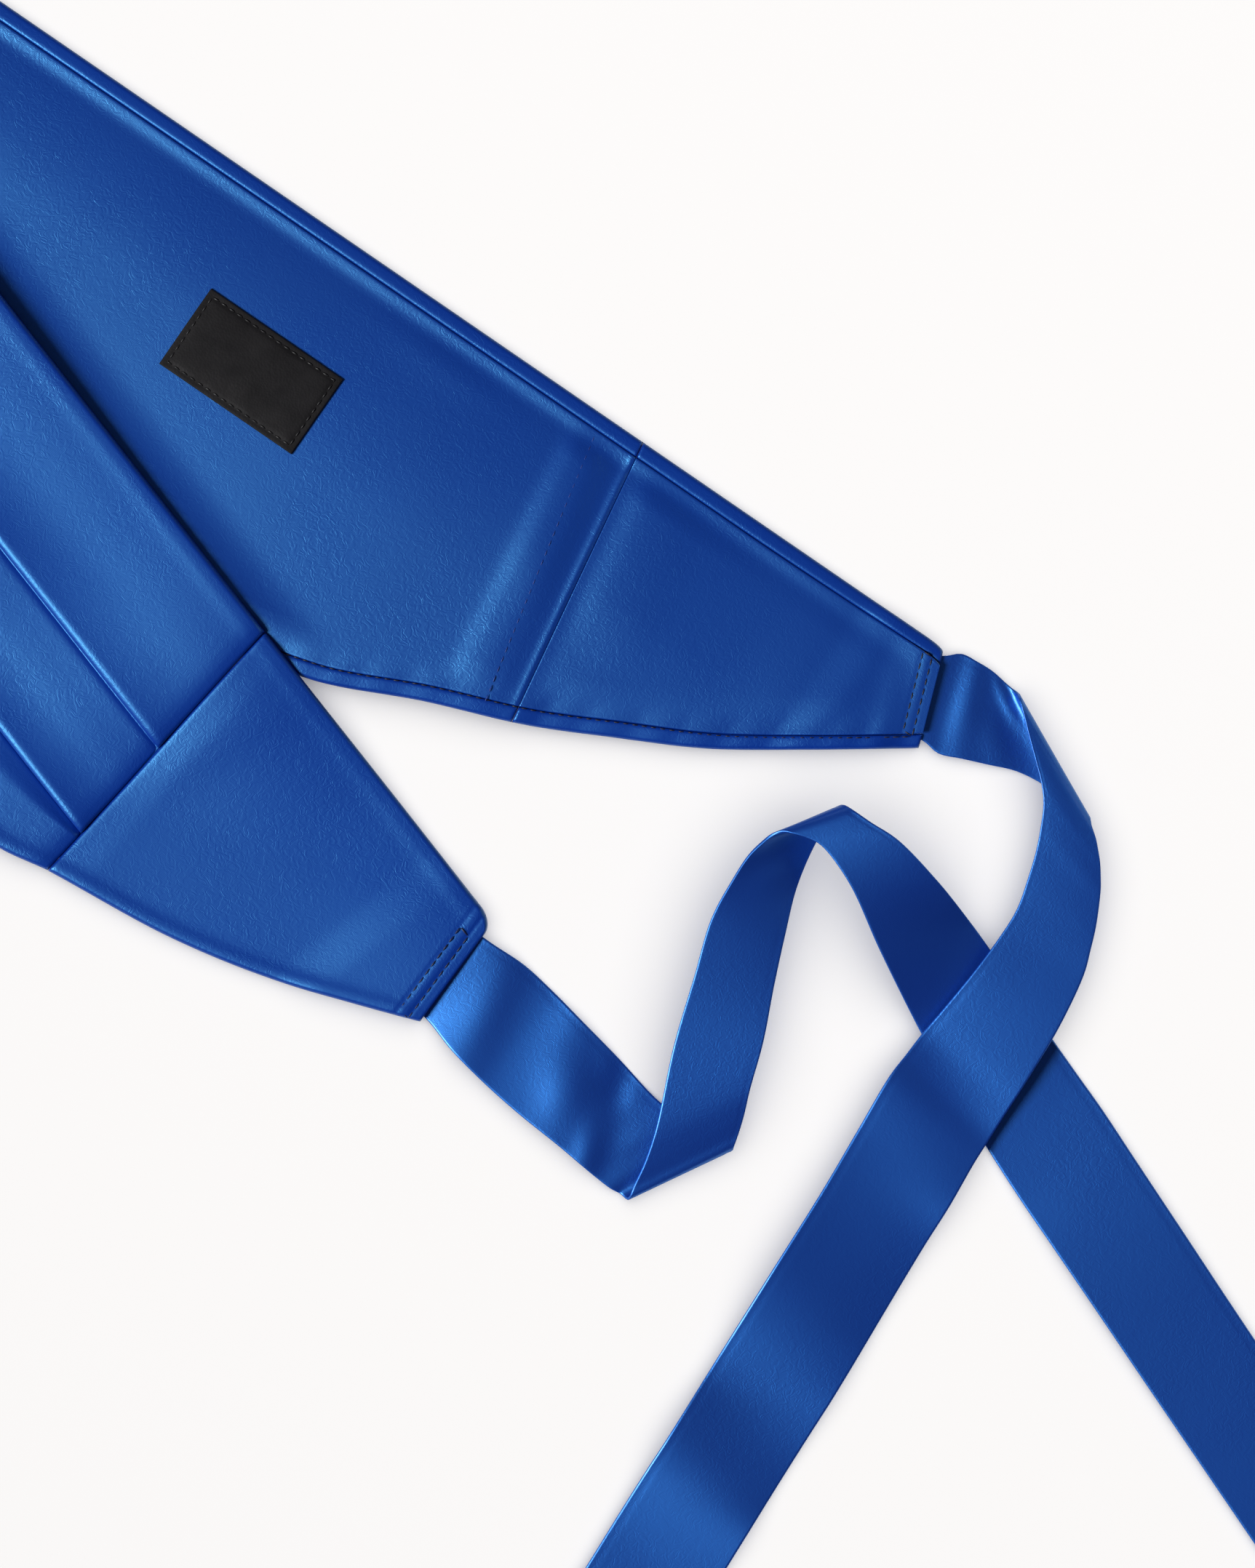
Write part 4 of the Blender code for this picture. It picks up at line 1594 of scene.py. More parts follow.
class TieTable(Enum):
    """Sections of the two ties: both edges of the ribbon and how far its middle is crowned."""

    NEAR = (
        ("ax", "ay", "az", "bx", "by", "bz", "crown"),
        (46.6, -184.5, 1.8, 28.5, -208.9, 1.8, 0.0),
        (55.7, -192.0, 3.1, 37.9, -216.2, 1.5, 0.0),
        (67.9, -200.4, 1.1, 46.4, -226.4, 3.5, 0.0),
        (76.5, -208.3, 0.8, 56.2, -236.3, 3.2, 0.0),
        (85.0, -216.8, 2.1, 66.1, -245.1, 3.1, 0.0),
        (96.9, -229.1, 0.8, 78.4, -255.0, 3.3, 0.0),
        (108.3, -241.3, 0.8, 89.3, -264.3, 2.0, 0.0),
        (117.0, -247.9, 0.8, 93.9, -267.9, 1.6, 0.0),
        (125.5, -253.2, 1.0, 96.9, -269.6, 0.8, 0.0),
        (130.4, -256.1, 3.8, 99.0, -271.1, 2.6, 0.0),
        (131.3, -254.5, 5.8, 99.8, -270.2, 3.6, 0.0),
        (132.5, -251.1, 6.8, 101.0, -267.1, 4.4, 0.0),
        (134.2, -245.0, 9.0, 104.2, -260.0, 6.8, 0.0),
        (135.8, -237.6, 11.2, 107.7, -249.2, 9.8, 0.0),
        (139.8, -222.9, 13.0, 113.1, -223.7, 13.4, 0.0),
        (143.0, -206.3, 12.8, 119.0, -203.6, 14.6, 0.1),
        (146.3, -191.2, 12.0, 124.1, -186.2, 15.6, 0.2),
        (150.1, -176.1, 10.0, 129.8, -175.4, 16.6, 0.2),
        (155.6, -163.5, 8.4, 136.1, -165.9, 17.8, 0.1),
        (160.6, -155.5, 8.0, 141.2, -161.4, 19.0, 0.0),
        (163.3, -152.3, 16.0, 145.2, -160.1, 20.4, 0.0),
        (165.9, -153.4, 20.2, 148.3, -160.6, 21.0, 0.0),
        (171.8, -157.4, 21.4, 152.8, -161.9, 21.0, 0.1),
        (179.1, -162.1, 21.6, 156.7, -164.1, 21.0, 0.1),
        (191.1, -174.2, 17.2, 164.9, -175.1, 20.4, 0.3),
        (203.0, -188.4, 6.6, 174.6, -195.6, 14.0, 0.4),
        (218.2, -209.4, 1.0, 187.9, -221.3, 2.8, 0.2),
        (227.7, -223.1, 0.8, 197.3, -238.2, 1.0, 0.1),
        (235.1, -233.6, 0.8, 207.5, -255.3, 0.8, 0.0),
        (242.4, -243.9, 1.3, 217.7, -271.2, 1.2, 0.0),
        (252.8, -259.7, 2.0, 227.3, -285.3, 1.9, 0.0),
        (265.5, -278.9, 2.4, 239.1, -302.6, 2.2, 0.0),
        (288.8, -314.0, 1.9, 260.4, -334.0, 1.7, 0.0),
        (370.9, -434.4, 0.6, 342.4, -454.3, 0.6, 0.0),
    )
    FAR = (
        ("ax", "ay", "az", "bx", "by", "bz", "crown"),
        (182.7, -103.7, 2.6, 176.5, -129.8, 2.6, 0.0),
        (193.9, -107.1, 2.6, 188.0, -132.6, 2.6, 0.0),
        (200.1, -106.5, 2.0, 193.0, -136.6, 2.0, 0.0),
        (204.8, -108.9, 2.1, 200.1, -138.2, 2.2, 0.0),
        (209.1, -111.5, 1.8, 207.7, -139.9, 1.5, 0.0),
        (212.9, -114.8, 1.7, 216.8, -142.0, 0.9, 0.0),
        (215.5, -117.2, 2.3, 225.3, -146.3, 0.8, 0.0),
        (216.6, -118.4, 3.6, 233.8, -152.9, 1.4, 0.0),
        (216.7, -118.9, 6.0, 238.2, -156.2, 4.2, 0.0),
        (216.7, -120.2, 8.6, 238.0, -156.9, 7.6, 0.0),
        (217.8, -124.6, 9.1, 238.6, -159.2, 8.2, 0.0),
        (219.7, -132.2, 9.4, 239.8, -162.5, 8.4, 0.1),
        (221.5, -138.8, 9.5, 240.5, -166.1, 8.5, 0.2),
        (223.2, -145.3, 9.5, 241.0, -169.3, 8.5, 0.3),
        (223.9, -151.5, 9.4, 241.2, -173.1, 8.4, 0.3),
        (223.2, -158.0, 9.2, 241.2, -177.4, 8.4, 0.3),
        (221.8, -165.6, 8.9, 240.7, -182.5, 8.3, 0.2),
        (219.5, -173.6, 8.6, 239.8, -188.7, 8.2, 0.2),
        (216.0, -183.5, 8.2, 238.2, -195.7, 8.1, 0.1),
        (211.1, -191.5, 7.9, 236.3, -202.9, 7.9, 0.0),
        (203.3, -202.1, 7.5, 228.9, -218.7, 7.8, 0.0),
        (194.5, -213.0, 6.4, 218.3, -236.5, 7.1, 0.0),
        (187.7, -221.1, 5.7, 212.4, -245.8, 6.1, 0.0),
        (182.9, -227.2, 6.6, 208.0, -252.9, 5.4, 0.0),
        (178.0, -233.3, 8.1, 203.6, -259.7, 5.9, 0.0),
        (168.1, -250.2, 7.7, 195.9, -273.1, 6.2, 0.0),
        (157.5, -268.2, 8.1, 188.5, -285.3, 3.9, 0.0),
        (143.4, -290.7, 8.1, 174.6, -308.9, 2.2, 0.0),
        (137.2, -300.9, 6.4, 168.4, -319.2, 3.0, 0.0),
        (129.5, -313.6, 4.1, 160.7, -331.8, 3.5, 0.0),
        (123.6, -323.1, 3.8, 154.8, -341.2, 2.6, 0.0),
        (116.2, -334.7, 5.6, 147.4, -353.1, 1.6, 0.0),
        (110.9, -343.1, 5.9, 142.1, -361.5, 2.0, 0.0),
        (104.5, -353.3, 3.7, 135.7, -371.5, 3.7, 0.0),
        (97.1, -365.2, 2.8, 128.4, -383.5, 2.8, 0.0),
        (86.2, -382.8, 2.8, 117.5, -401.2, 0.9, 0.0),
        (56.7, -429.7, 1.3, 88.0, -448.1, 0.8, 0.0),
        (-31.9, -570.0, 0.6, -0.6, -588.4, 0.6, 0.0),
    )


NEAR_WRINKLES = read_table(
    Swell,
    (
        ("along", "across", "half_length", "half_width", "turn", "rise"),
        (25.0, 14.0, 6.5, 30.0, -14.0, 0.85),
        (60.0, 18.0, 8.5, 10.5, -8.0, 1.15),
        (72.0, 6.0, 6.0, 8.0, 0.0, -0.9),
        (76.0, 26.0, 5.0, 9.0, -20.0, 1.1),
        (77.0, 5.0, 3.2, 5.0, 10.0, 0.35),
        (86.0, 11.0, 4.0, 10.0, 24.0, 0.5),
        (66.0, 4.0, 4.0, 7.0, -30.0, 0.3),
        (199.0, 8.0, 6.0, 7.0, 20.0, 0.5),
        (213.0, 19.0, 5.0, 8.0, -20.0, 0.4),
    ),
)
FAR_WRINKLES = read_table(
    Swell,
    (
        ("along", "across", "half_length", "half_width", "turn", "rise"),
        (22.5, 15.0, 4.2, 15.0, 8.0, 0.7),
        (32.0, 22.0, 5.5, 9.0, -10.0, 0.6),
        (37.0, 7.0, 3.0, 7.0, -38.0, 0.55),
    ),
)


@dataclass
class Tie:
    """A tie: a turned ribbon of doubled satin that leaves one tip of the band."""

    name: str
    table: TieTable
    wrinkles: tuple[Swell, ...]
    wall: float = 1.0
    least_half_wall: float = 0.06
    least_height: float = 0.55
    step: float = 1.7
    edge_radius: float = 0.30
    edge_steps: tuple[float, ...] = (0.0, 0.006, 0.02, 0.045, 0.075, 0.11, 0.15)
    widest_step: float = 0.05
    seam_groove: Crest = Crest(1.5, 0.32, 0.09)

    def edges(self) -> tuple[Array, Array, Array]:
        """Smooth edges of the ribbon.

        Returns:
            Points of the first edge, of the second edge, and the crown at each.
        """
        rows = np.array(self.table.value[1:], float)
        first, second, crown = rows[:, 0:3], rows[:, 3:6], rows[:, 6]
        out_a, out_b, out_c = [], [], []
        for i in range(len(rows) - 1):
            middle = (first[i : i + 2] + second[i : i + 2]) / 2.0
            steps = max(2, math.ceil(np.linalg.norm(middle[1] - middle[0]) / self.step))
            u = np.arange(steps) / steps
            out_a.append(self.through(first, i, u))
            out_b.append(self.through(second, i, u))
            out_c.append(mix(crown[i], crown[i + 1], soft(u)))
        a = np.concatenate(out_a + [first[-1:]])
        b = np.concatenate(out_b + [second[-1:]])
        for edge in (a, b):
            edge[:, 2] = np.maximum(edge[:, 2], self.wall * self.least_height)
        return a, b, np.concatenate(out_c + [crown[-1:]])

    @staticmethod
    def through(points: Array, i: int, u: Array) -> Array:
        """Smooth curve through neighbouring points.

        Args:
            points: the points.
            i: the stretch, from point i to the next.
            u: places on the stretch, 0 to 1.

        Returns:
            Points on the curve.
        """
        last = len(points) - 1
        p0, p1 = points[max(i - 1, 0)], points[i]
        p2, p3 = points[min(i + 1, last)], points[min(i + 2, last)]
        d1, d2, d3 = (
            max(np.linalg.norm(b - a), 1e-6) ** 0.5 for a, b in ((p0, p1), (p1, p2), (p2, p3))
        )
        m1, m2 = p2 - p1, p2 - p1
        if i > 0:
            m1 = ((p1 - p0) / d1 - (p2 - p0) / (d1 + d2) + (p2 - p1) / d2) * d2
        if i + 2 <= last:
            m2 = ((p2 - p1) / d2 - (p3 - p1) / (d2 + d3) + (p3 - p2) / d3) * d2
        return hermite(u[:, None], p1, m1, p2, m2)

    @staticmethod
    def normals(grid: Array) -> Array:
        """Unit normals of a grid of points."""
        return unit(np.cross(np.gradient(grid, axis=0), np.gradient(grid, axis=1)))

    def build(self) -> bpy.types.Object:
        """Make the ribbon's mesh.

        Returns:
            The new object.
        """
        a, b, crown = self.edges()
        run = lengths_along((a + b) / 2.0)
        share = columns(both_edges(1.0, self.edge_steps), self.widest_step)[None, :]
        width = np.linalg.norm(b - a, axis=1)[:, None]
        across = share * width
        runs = np.broadcast_to(run[:, None], across.shape)
        grid = a[:, None] + (b - a)[:, None] * share[..., None]
        upward = np.clip(2.0 * self.normals(grid)[..., 2:], -1.0, 1.0)
        lift = 4.0 * crown[:, None] * share * (1.0 - share)
        lift = lift + total_height(self.wrinkles, runs, across)
        grid = grid + self.normals(grid) * upward * lift[..., None]
        normal = self.normals(grid)
        ends = np.minimum(run, run[-1] - run)[:, None]
        inside = np.minimum(np.minimum(across, width - across), ends)
        half = self.wall / 2.0 - round_off(inside, self.edge_radius)
        half = np.maximum(half, self.least_half_wall) - self.seam_groove.at(across)
        faces = grid + normal * half[..., None], grid - normal * half[..., None]
        for face in faces:
            face[..., 2] = np.maximum(face[..., 2], ABOVE_FLOOR)
        return shell(self.name, *faces, np.stack([runs, across], axis=-1))


# ---------------------------------------------------------------- label and stitching


@dataclass
class Label:
    """Bare leatherette patch sewn to the lining."""

    lining: LiningPiece
    along: float = 305.6
    across: float = 49.5
    length: float = 48.3
    width: float = 27.5
    wall: float = 0.95
    gap: float = 0.08
    edge_radius: float = 0.35
    edge_steps: tuple[float, ...] = (0.0, 0.03, 0.1, 0.2, 0.35, 0.8, 1.4, 1.9, 2.4, 3.2)
    widest_step: float = 1.3
    stitch_inset: float = 1.9
    stitch_groove: Crest = Crest(1.9, 0.45, 0.30)
    margin_dip: Fade = Fade(1.0, 1.2, 0.22, 0.0)
    crown: Fade = Fade(0.0, 8.0, 0.0, 0.25)
    underside_round: float = 0.3
    stitch_sink: float = 0.12

    def over_lining(self, u: Array, v: Array, above: Array | float) -> Array:
        """Points over the lining, smoothed as the stiff patch rests on it.

        Args:
            u: places along the patch.
            v: places across it.
            above: height over the lining.

        Returns:
            The points, in millimetres.
        """
        along = self.along - self.length / 2.0 + u
        across = self.across - self.width / 2.0 + v
        return self.lining.on_face(along, across, along, self.lining.plan.full_width, above)

    def build(self) -> bpy.types.Object:
        """Make the patch's mesh.

        Returns:
            The new object.
        """
        u, v = (
            columns(both_edges(side, self.edge_steps), self.widest_step)
            for side in (self.length, self.width)
        )
        uu, vv = np.meshgrid(u, v, indexing="ij")
        near = np.minimum.reduce([uu, self.length - uu, vv, self.width - vv])
        drop = round_off(near, self.edge_radius)
        dent = self.stitch_groove.at(near) + self.margin_dip.at(near)
        top = self.gap + self.wall - drop - dent + self.crown.at(near)
        upper = self.over_lining(uu, vv, top)
        lower = self.over_lining(uu, vv, self.gap + self.underside_round * drop)
        return shell("label_patch", upper, lower, np.stack([uu, vv], axis=-1))

    def stitches(self) -> "StitchRun":
        """Stitching round the patch.

        Returns:
            The stitches, ready to be made.
        """
        low, steps = self.stitch_inset, 12
        right, top = self.length - low, self.width - low
        corners = ((low, low), (right, low), (right, top), (low, top), (low, low))
        place = np.arange(4 * steps + 1) / steps
        uu, vv = (np.interp(place, range(5), side) for side in zip(*corners))
        path = self.over_lining(uu, vv, self.gap + self.wall - self.stitch_sink)
        return StitchRun("label_stitches", [path], 2.1, 0.7, 0.25)


@dataclass
class StitchRun:
    """Rows of stitches made as one mesh of small bowed threads."""

    name: str
    paths: list[Array]
    length: float
    space: float
    radius: float
    sides: int = 7
    rings: int = 7
    bow: float = 1.1
    sunk: float = 0.55
    end_girth: float = 0.35
    girth_power: float = 0.6

    def lines(self) -> list[Array]:
        """Each stitch's middle line, evenly spaced along the paths.

        Returns:
            Points of each stitch.
        """
        out = []
        for path in self.paths:
            run = lengths_along(path)
            count = max(1, int(run[-1] // (self.length + self.space)))
            pitch = run[-1] / count
            for k in range(count):
                at = k * pitch + self.space / 2.0
                s = np.linspace(at, at + pitch - self.space, self.rings)
                out.append(np.stack([np.interp(s, run, path[:, c]) for c in range(3)], axis=1))
        return out

    def tube(self, line: Array) -> Array:
        """Rings of points round a stitch, thin and sunk at its ends.

        Args:
            line: the stitch's middle line.

        Returns:
            A ring of points for each point of the line.
        """
        ahead = unit(line[-1] - line[0])
        side = unit(np.cross(ahead, (0.0, 0.0, 1.0)))
        up = np.cross(side, ahead)
        phase = np.linspace(0.0, math.pi, self.rings)
        bow = (np.sin(phase) - self.sunk) * self.radius * self.bow
        fullness = np.sin(phase) ** self.girth_power
        girth = self.radius * mix(self.end_girth, 1.0, fullness)
        angle = np.linspace(0.0, 2.0 * math.pi, self.sides, endpoint=False)
        ring = np.cos(angle)[:, None] * side + np.sin(angle)[:, None] * up
        return line[:, None] + up * bow[:, None, None] + ring * girth[:, None, None]

    def faces(self) -> list[tuple[int, ...]]:
        """Corner indices of one stitch's faces, its two end points last.

        Returns:
            The faces, as corners counted from the stitch's first point.
        """
        sides, rings = self.sides, self.rings
        index = np.arange(rings * sides).reshape(rings, sides)
        ahead = np.roll(index, -1, axis=1)
        quads = [index[:-1], ahead[:-1], ahead[1:], index[1:]]
        out = np.stack([q.ravel() for q in quads], axis=1).tolist()
        first, last = rings * sides, rings * sides + 1
        out += [(b, a, first) for a, b in zip(index[0].tolist(), ahead[0].tolist())]
        out += [(last, a, b) for a, b in zip(index[-1].tolist(), ahead[-1].tolist())]
        return out

    def build(self) -> bpy.types.Object:
        """Make the stitches' mesh.

        Returns:
            The new object.
        """
        points, faces = [], []
        one = self.faces()
        for line in self.lines():
            tube = self.tube(line)
            base = sum(len(p) for p in points)
            ends = np.stack([tube[0].mean(axis=0), tube[-1].mean(axis=0)])
            points += [tube.reshape(-1, 3), ends]
            faces += [tuple(base + corner for corner in face) for face in one]
        data = bpy.data.meshes.new(self.name)
        data.from_pydata((np.concatenate(points) * MM).tolist(), [], faces)
        data.polygons.foreach_set("use_smooth", [True] * len(data.polygons))
        data.update()
        return put_in_scene(self.name, data)


# ---------------------------------------------------------------- the garment


@dataclass
class Cummerbund:
    """The whole garment: band, ties, label and stitching."""

    drape: Drape
    wardrobe: Wardrobe
    trim: float = 0.035
    fold_zone: float = 6.0
    fold_step: float = 9.0
    fine_under: float = 175.0
    fine_over: float = 185.0
    side_steps: tuple[float, float, float] = (1.8, 1.5, 40.0)
    tip_zone: float = 11.0
    tip_steps: tuple[float, ...] = (
        10.0, 9.1, 8.3, 7.6, 7.0, 6.4, 5.8, 5.2, 4.6, 4.0, 3.5, 3.0, 2.5,
        2.0, 1.5, 1.0, 0.6, 0.3, 0.12, 0.03, 0.0,
    )
    seam_row_span: tuple[float, float, int] = (6.3, 92.0, 60)
    seam_row_width: float = 104.0
    rim_row_span: tuple[float, float, int] = (312.0, 531.0, 440)
    rim_row_inset: float = 0.15
    seam_row_sink: float = 0.13
    rim_row_sink: float = 0.12
    tip_sink_over: float = 0.14
    tip_sink_under: float = 0.05
    least_share: float = 0.3

    @property
    def plan(self) -> BandPlan:
        """The band's plan."""
        return self.drape.plan

    def centre_lines(self, fine_under: float, fine_over: float, coarse: float = 6.0) -> Lines:
        """Lines of the centre, from seam to seam round the fold.

        Args:
            fine_under: spacing near the lower half's seam.
            fine_over: spacing near the top half's seam.
            coarse: spacing elsewhere.

        Returns:
            The lines.
        """
        p, zone = self.plan, self.fold_zone
        under = seam_steps(p.under.seam - self.trim, zone, coarse, fine_under, self.fine_under)
        over = seam_steps(p.over.seam - self.trim, zone, coarse, fine_over, self.fine_over)[::-1]
        slants_under = np.interp(under, (zone, p.under.seam), (p.fold_slant, -p.seam_slant))
        slants_over = np.interp(over, (zone, p.over.seam), (p.fold_slant, p.seam_slant))
        bend = Lines.bend(p, np.arange(-90.0, 91.0, self.fold_step))
        first, last = Lines.flat(p, -under, slants_under), Lines.flat(p, over, slants_over)
        return first.then(bend).then(last)

    def side_lines(self, half: Half) -> Lines:
        """Lines of a side panel, from its seam to its tip.

        Args:
            half: the half that the panel is on.

        Returns:
            The lines.
        """
        p = self.plan
        sign = 1.0 if half is p.over else -1.0
        body = seam_steps(half.seam + self.trim, half.tip - self.tip_zone, *self.side_steps)
        start = np.concatenate([body, half.tip - np.array(self.tip_steps)])
        slants = np.interp(start, (half.seam, half.tip), (p.seam_slant, half.tip_slant))
        return Lines.flat(p, sign * start, sign * slants)

    def build_front(self) -> None:
        """Make the pleated centre and the two plain sides of the front."""
        d, p = self.drape, self.plan
        centre = FrontPiece("front_centre_cloth", d, self.centre_lines(3.2, 3.0), True)
        near = FrontPiece("front_side_near_cloth", d, self.side_lines(p.over))
        far = FrontPiece("front_side_far_cloth", d, self.side_lines(p.under))
        self.finish_sheet(centre.build(), Slot.SATIN, "front_center")
        self.finish_sheet(near.build(), Slot.SATIN, "front_side_a")
        self.finish_sheet(far.build(), Slot.SATIN, "front_side_b")

    def build_lining(self) -> None:
        """Make the lining and what is sewn to it."""
        d, p, w = self.drape, self.plan, self.wardrobe
        centre = LiningPiece("lining_centre_cloth", d, self.centre_lines(2.2, 6.0))
        near = LiningPiece("lining_side_near_cloth", d, self.side_lines(p.over))
        far = LiningPiece("lining_side_far_cloth", d, self.side_lines(p.under))
        seams = self.build_stitches(centre)
        label = Label(centre)
        patch = label.build()
        around = [w.sew(label.stitches(), Spool.BLACK, Slot.LABEL)]
        self.finish_sheet(centre.build(), Slot.LINING, "lining_center")
        self.finish_sheet(near.build(), Slot.LINING, "lining_side_a")
        self.finish_sheet(far.build(), Slot.LINING, "lining_side_b")
        self.finish_sheet(patch, Slot.LABEL, "label")

    def build_ties(self) -> None:
        """Make the two ties."""
        near = Tie("tie_near_cloth", TieTable.NEAR, NEAR_WRINKLES)
        far = Tie("tie_far_cloth", TieTable.FAR, FAR_WRINKLES)
        self.finish_sheet(near.build(), Slot.TIE, "tie_a")
        self.finish_sheet(far.build(), Slot.TIE, "tie_b")

    def finish_sheet(
        self,
        piece: bpy.types.Object,
        slot: Slot,
        node: str,
    ) -> None:
        """Dress a piece and work out the area of one of its faces.

        Args:
            piece: the piece.
            slot: what it is made of.
            node: the plain solid that it stands for.
        """
        self.wardrobe.dress(piece, slot, node)
        size = self.cloth_area(piece)

    @staticmethod
    def cloth_area(piece: bpy.types.Object) -> float:
        """Half the surface of a closed piece, in square metres.

        Args:
            piece: the piece.

        Returns:
            The area of one face.
        """
        areas = np.zeros(len(piece.data.polygons), np.float32)
        piece.data.polygons.foreach_get("area", areas)
        return float(areas.sum()) / 2.0

    def build_stitches(self, lining: LiningPiece) -> list[bpy.types.Object]:
        """Make the topstitching, the rim's stitches and the rows that hold the ties.

        Args:
            lining: the lining's centre, for the height of its showing face.

        Returns:
            The thread pieces.
        """
        p = self.plan
        top = StitchRun("lining_topstitch", [self.seam_row(lining)], 2.2, 0.9, 0.17)
        rim = StitchRun("rim_stitches", [self.rim_row(lining)], 1.9, 0.9, 0.2)
        far = StitchRun("tip_stitches_far", self.tip_rows(p.under), 2.3, 0.7, 0.21)
        near = StitchRun("tip_stitches_near", self.tip_rows(p.over), 2.3, 0.7, 0.22)
        threads = ((top, Spool.LINING), (rim, Spool.DARK), (far, Spool.DARK), (near, Spool.BLUE))
        return [self.wardrobe.sew(run, spool, Slot.LINING) for run, spool in threads]

    def seam_row(self, lining: LiningPiece) -> Array:
        """Path of the topstitching beside the lining's seam.

        Args:
            lining: the lining's centre.

        Returns:
            Points in millimetres.
        """
        across = np.linspace(*self.seam_row_span)
        start = lining.topstitch_at(across)
        along = start + self.plan.seam_slant * across
        return lining.on_face(along, across, start, self.seam_row_width, -self.seam_row_sink)

    def rim_row(self, lining: LiningPiece) -> Array:
        """Path of the hand stitches that hold the lining to the curved rim.

        Args:
            lining: the lining's centre.

        Returns:
            Points in millimetres.
        """
        along = np.linspace(*self.rim_row_span)
        wide = self.plan.outline.at(-along)
        across = wide - self.drape.rim_of(-along) - self.rim_row_inset
        start = along - self.plan.seam_slant * across
        return lining.on_face(along, across, start, wide, -self.rim_row_sink)

    def tip_rows(self, half: Half) -> list[Array]:
        """Paths of the two stitch rows across a tip and of the short ones that join them.

        Args:
            half: the half that the tip is on.

        Returns:
            Points of each path, in millimetres.
        """
        across, steps = np.linspace(*half.sewn, 24), np.linspace(*half.rows, 6)
        rows = [self.tip_points(half, np.full_like(across, row), across) for row in half.rows]
        ends = [self.tip_points(half, steps, np.full_like(steps, end)) for end in half.sewn]
        return rows + ends

    def tip_points(self, half: Half, row: Array, across: Array) -> Array:
        """Points on a tip's showing face, in its stitched dent.

        Args:
            half: the half that the tip is on.
            row: distances from the tip's end.
            across: distances from the straight edge.

        Returns:
            The points, in millimetres.
        """
        p, d = self.plan, self.drape
        start = half.tip - row / half.lean
        along = start + half.tip_slant * across
        if half is p.over:
            swell = total_height(d.front_swells, along, across) * d.tip_swell.at(row)
            z = p.underside(along, across) + p.stack + p.pocket(along) + swell
            z = z - self.tip_sink_over
        else:
            rise = d.tip_rise.at(start - half.tip) + p.curl(start, across)
            z = p.stack + p.pocket(-along) + rise - self.tip_sink_under
        return np.stack([*p.plan(half, along, across), z], axis=1)

    def build(self) -> None:
        """Make every piece."""
        self.build_front()
        self.build_lining()
        self.build_ties()


# ---------------------------------------------------------------- studio


@dataclass(frozen=True)
class Lamp:
    """A soft box, aimed at the middle of the garment; sizes in metres, power in watts."""

    name: str
    toward: tuple[float, float, float]
    distance: float
    size: float
    power: float
    colour: Colour
    on_garment: bool = True


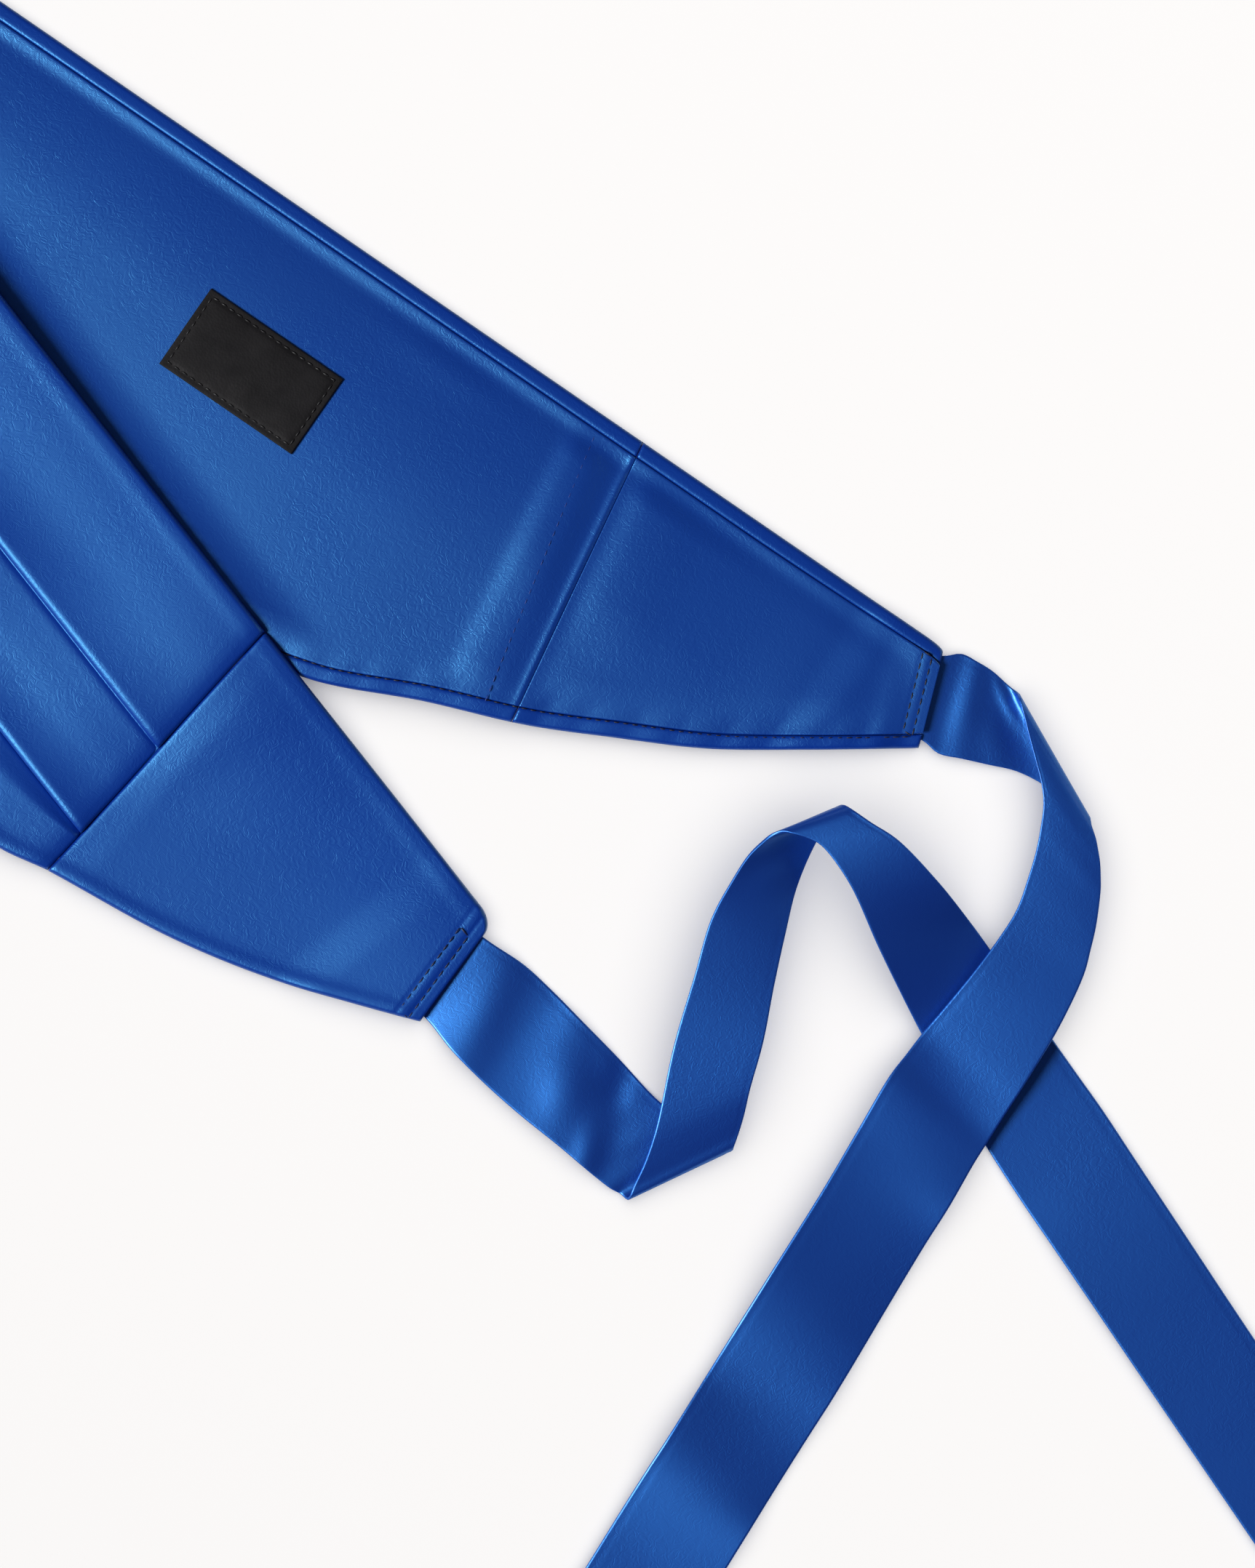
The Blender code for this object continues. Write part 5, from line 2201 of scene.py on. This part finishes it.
@dataclass
class Studio:
    """Pale floor, soft boxes and the camera above; sizes in metres."""

    aim: tuple[float, float, float] = (0.07, -0.12, 0.0)
    camera_at: tuple[float, float, float] = (0.0992, -0.1458, 1.12)
    frame_height: float = 0.4743
    sensor_height: float = 36.0
    floor_half: float = 12.0
    floor_colour: Colour = (0.86, 0.855, 0.84)
    floor_glow_colour: Colour = (1.0, 0.985, 0.985)
    floor_glow: float = 0.16
    air_colour: Colour = (0.62, 0.55, 0.78)
    air_strength: float = 0.09
    lamps: tuple[Lamp, ...] = (
        Lamp("key", (-0.67, -0.14, 0.73), 4.0, 1.6, 250.0, (1.0, 1.0, 1.0)),
        Lamp("side", (0.86, 0.28, 0.42), 1.7, 0.9, 3.0, (1.0, 0.93, 0.98)),
        Lamp("table", (0.05, 0.12, 0.99), 1.5, 5.0, 75.5, (1.0, 0.995, 0.98), on_garment=False),
    )

    def build(self) -> None:
        """Set up the floor, lights and camera."""
        scene = bpy.context.scene
        garment = bpy.data.collections.new("garment lights")
        table = bpy.data.collections.new("table lights")
        for piece in scene.objects:
            if piece.type == "MESH":
                garment.objects.link(piece)
        table.objects.link(self.build_floor())
        for lamp in self.lamps:
            self.hang(lamp, garment if lamp.on_garment else table)
        world = bpy.data.worlds.new("studio")
        world.use_nodes = True
        air, back = NodeSheet(world.node_tree), world.node_tree.nodes["Background"]
        air.feed(back, Color=(*self.air_colour, 1.0), Strength=self.air_strength)
        scene.world = world
        scene.view_settings.view_transform = "Standard"
        self.build_camera()

    def hang(self, lamp: Lamp, lit: bpy.types.Collection) -> None:
        """Hang one soft box.

        Args:
            lamp: the soft box.
            lit: what it lights.
        """
        data = bpy.data.lights.new(lamp.name, "AREA")
        data.shape = "DISK"
        data.size = lamp.size
        data.energy = lamp.power
        data.color = lamp.colour
        light = put_in_scene(lamp.name, data)
        direction = unit(np.array(lamp.toward))
        light.location = np.array(self.aim) + direction * lamp.distance
        light.rotation_euler = aim_rotation(-direction)
        light.light_linking.receiver_collection = lit

    def build_floor(self) -> bpy.types.Object:
        """Make the pale floor.

        Returns:
            The floor.
        """
        data = bpy.data.meshes.new("floor")
        half = self.floor_half
        corners = [(-half, -half, 0.0), (half, -half, 0.0), (half, half, 0.0), (-half, half, 0.0)]
        data.from_pydata(corners, [], [(0, 1, 2, 3)])
        floor = put_in_scene("floor", data)
        sheet = MaterialSheet("pale floor")
        sheet.shade(
            Base_Color=(*self.floor_colour, 1.0),
            Roughness=0.9,
            Specular_IOR_Level=0.0,
            Emission_Color=(*self.floor_glow_colour, 1.0),
            Emission_Strength=self.floor_glow,
        )
        data.materials.append(sheet.material)
        return floor

    def build_camera(self) -> None:
        """Hang the camera straight above."""
        data = bpy.data.cameras.new("camera")
        data.sensor_fit = "VERTICAL"
        data.sensor_height = self.sensor_height
        data.lens = self.sensor_height * self.camera_at[2] / self.frame_height
        camera = put_in_scene("camera", data)
        camera.location = self.camera_at
        bpy.context.scene.camera = camera


def aim_rotation(direction: Array) -> tuple[float, float, float]:
    """Rotation that points a lamp's beam, its own -Z, along a direction.

    Args:
        direction: the beam's direction, one long.

    Returns:
        Euler angles in radians.
    """
    x, y, z = direction
    tilt = math.acos(max(-1.0, min(1.0, -z)))
    return (tilt, 0.0, math.atan2(y, x) - math.pi / 2.0)


def main() -> None:
    """Build the garment, then the studio round it."""
    logging.basicConfig(level=logging.INFO, format="%(message)s")
    garment = Cummerbund(Drape(BandPlan()), Wardrobe())
    garment.build()
    Studio().build()
    for piece in bpy.context.scene.objects:
        if piece.type == "MESH":
            LOG.info("%s: %d faces", piece.name, len(piece.data.polygons))


if __name__ == "__main__":
    main()
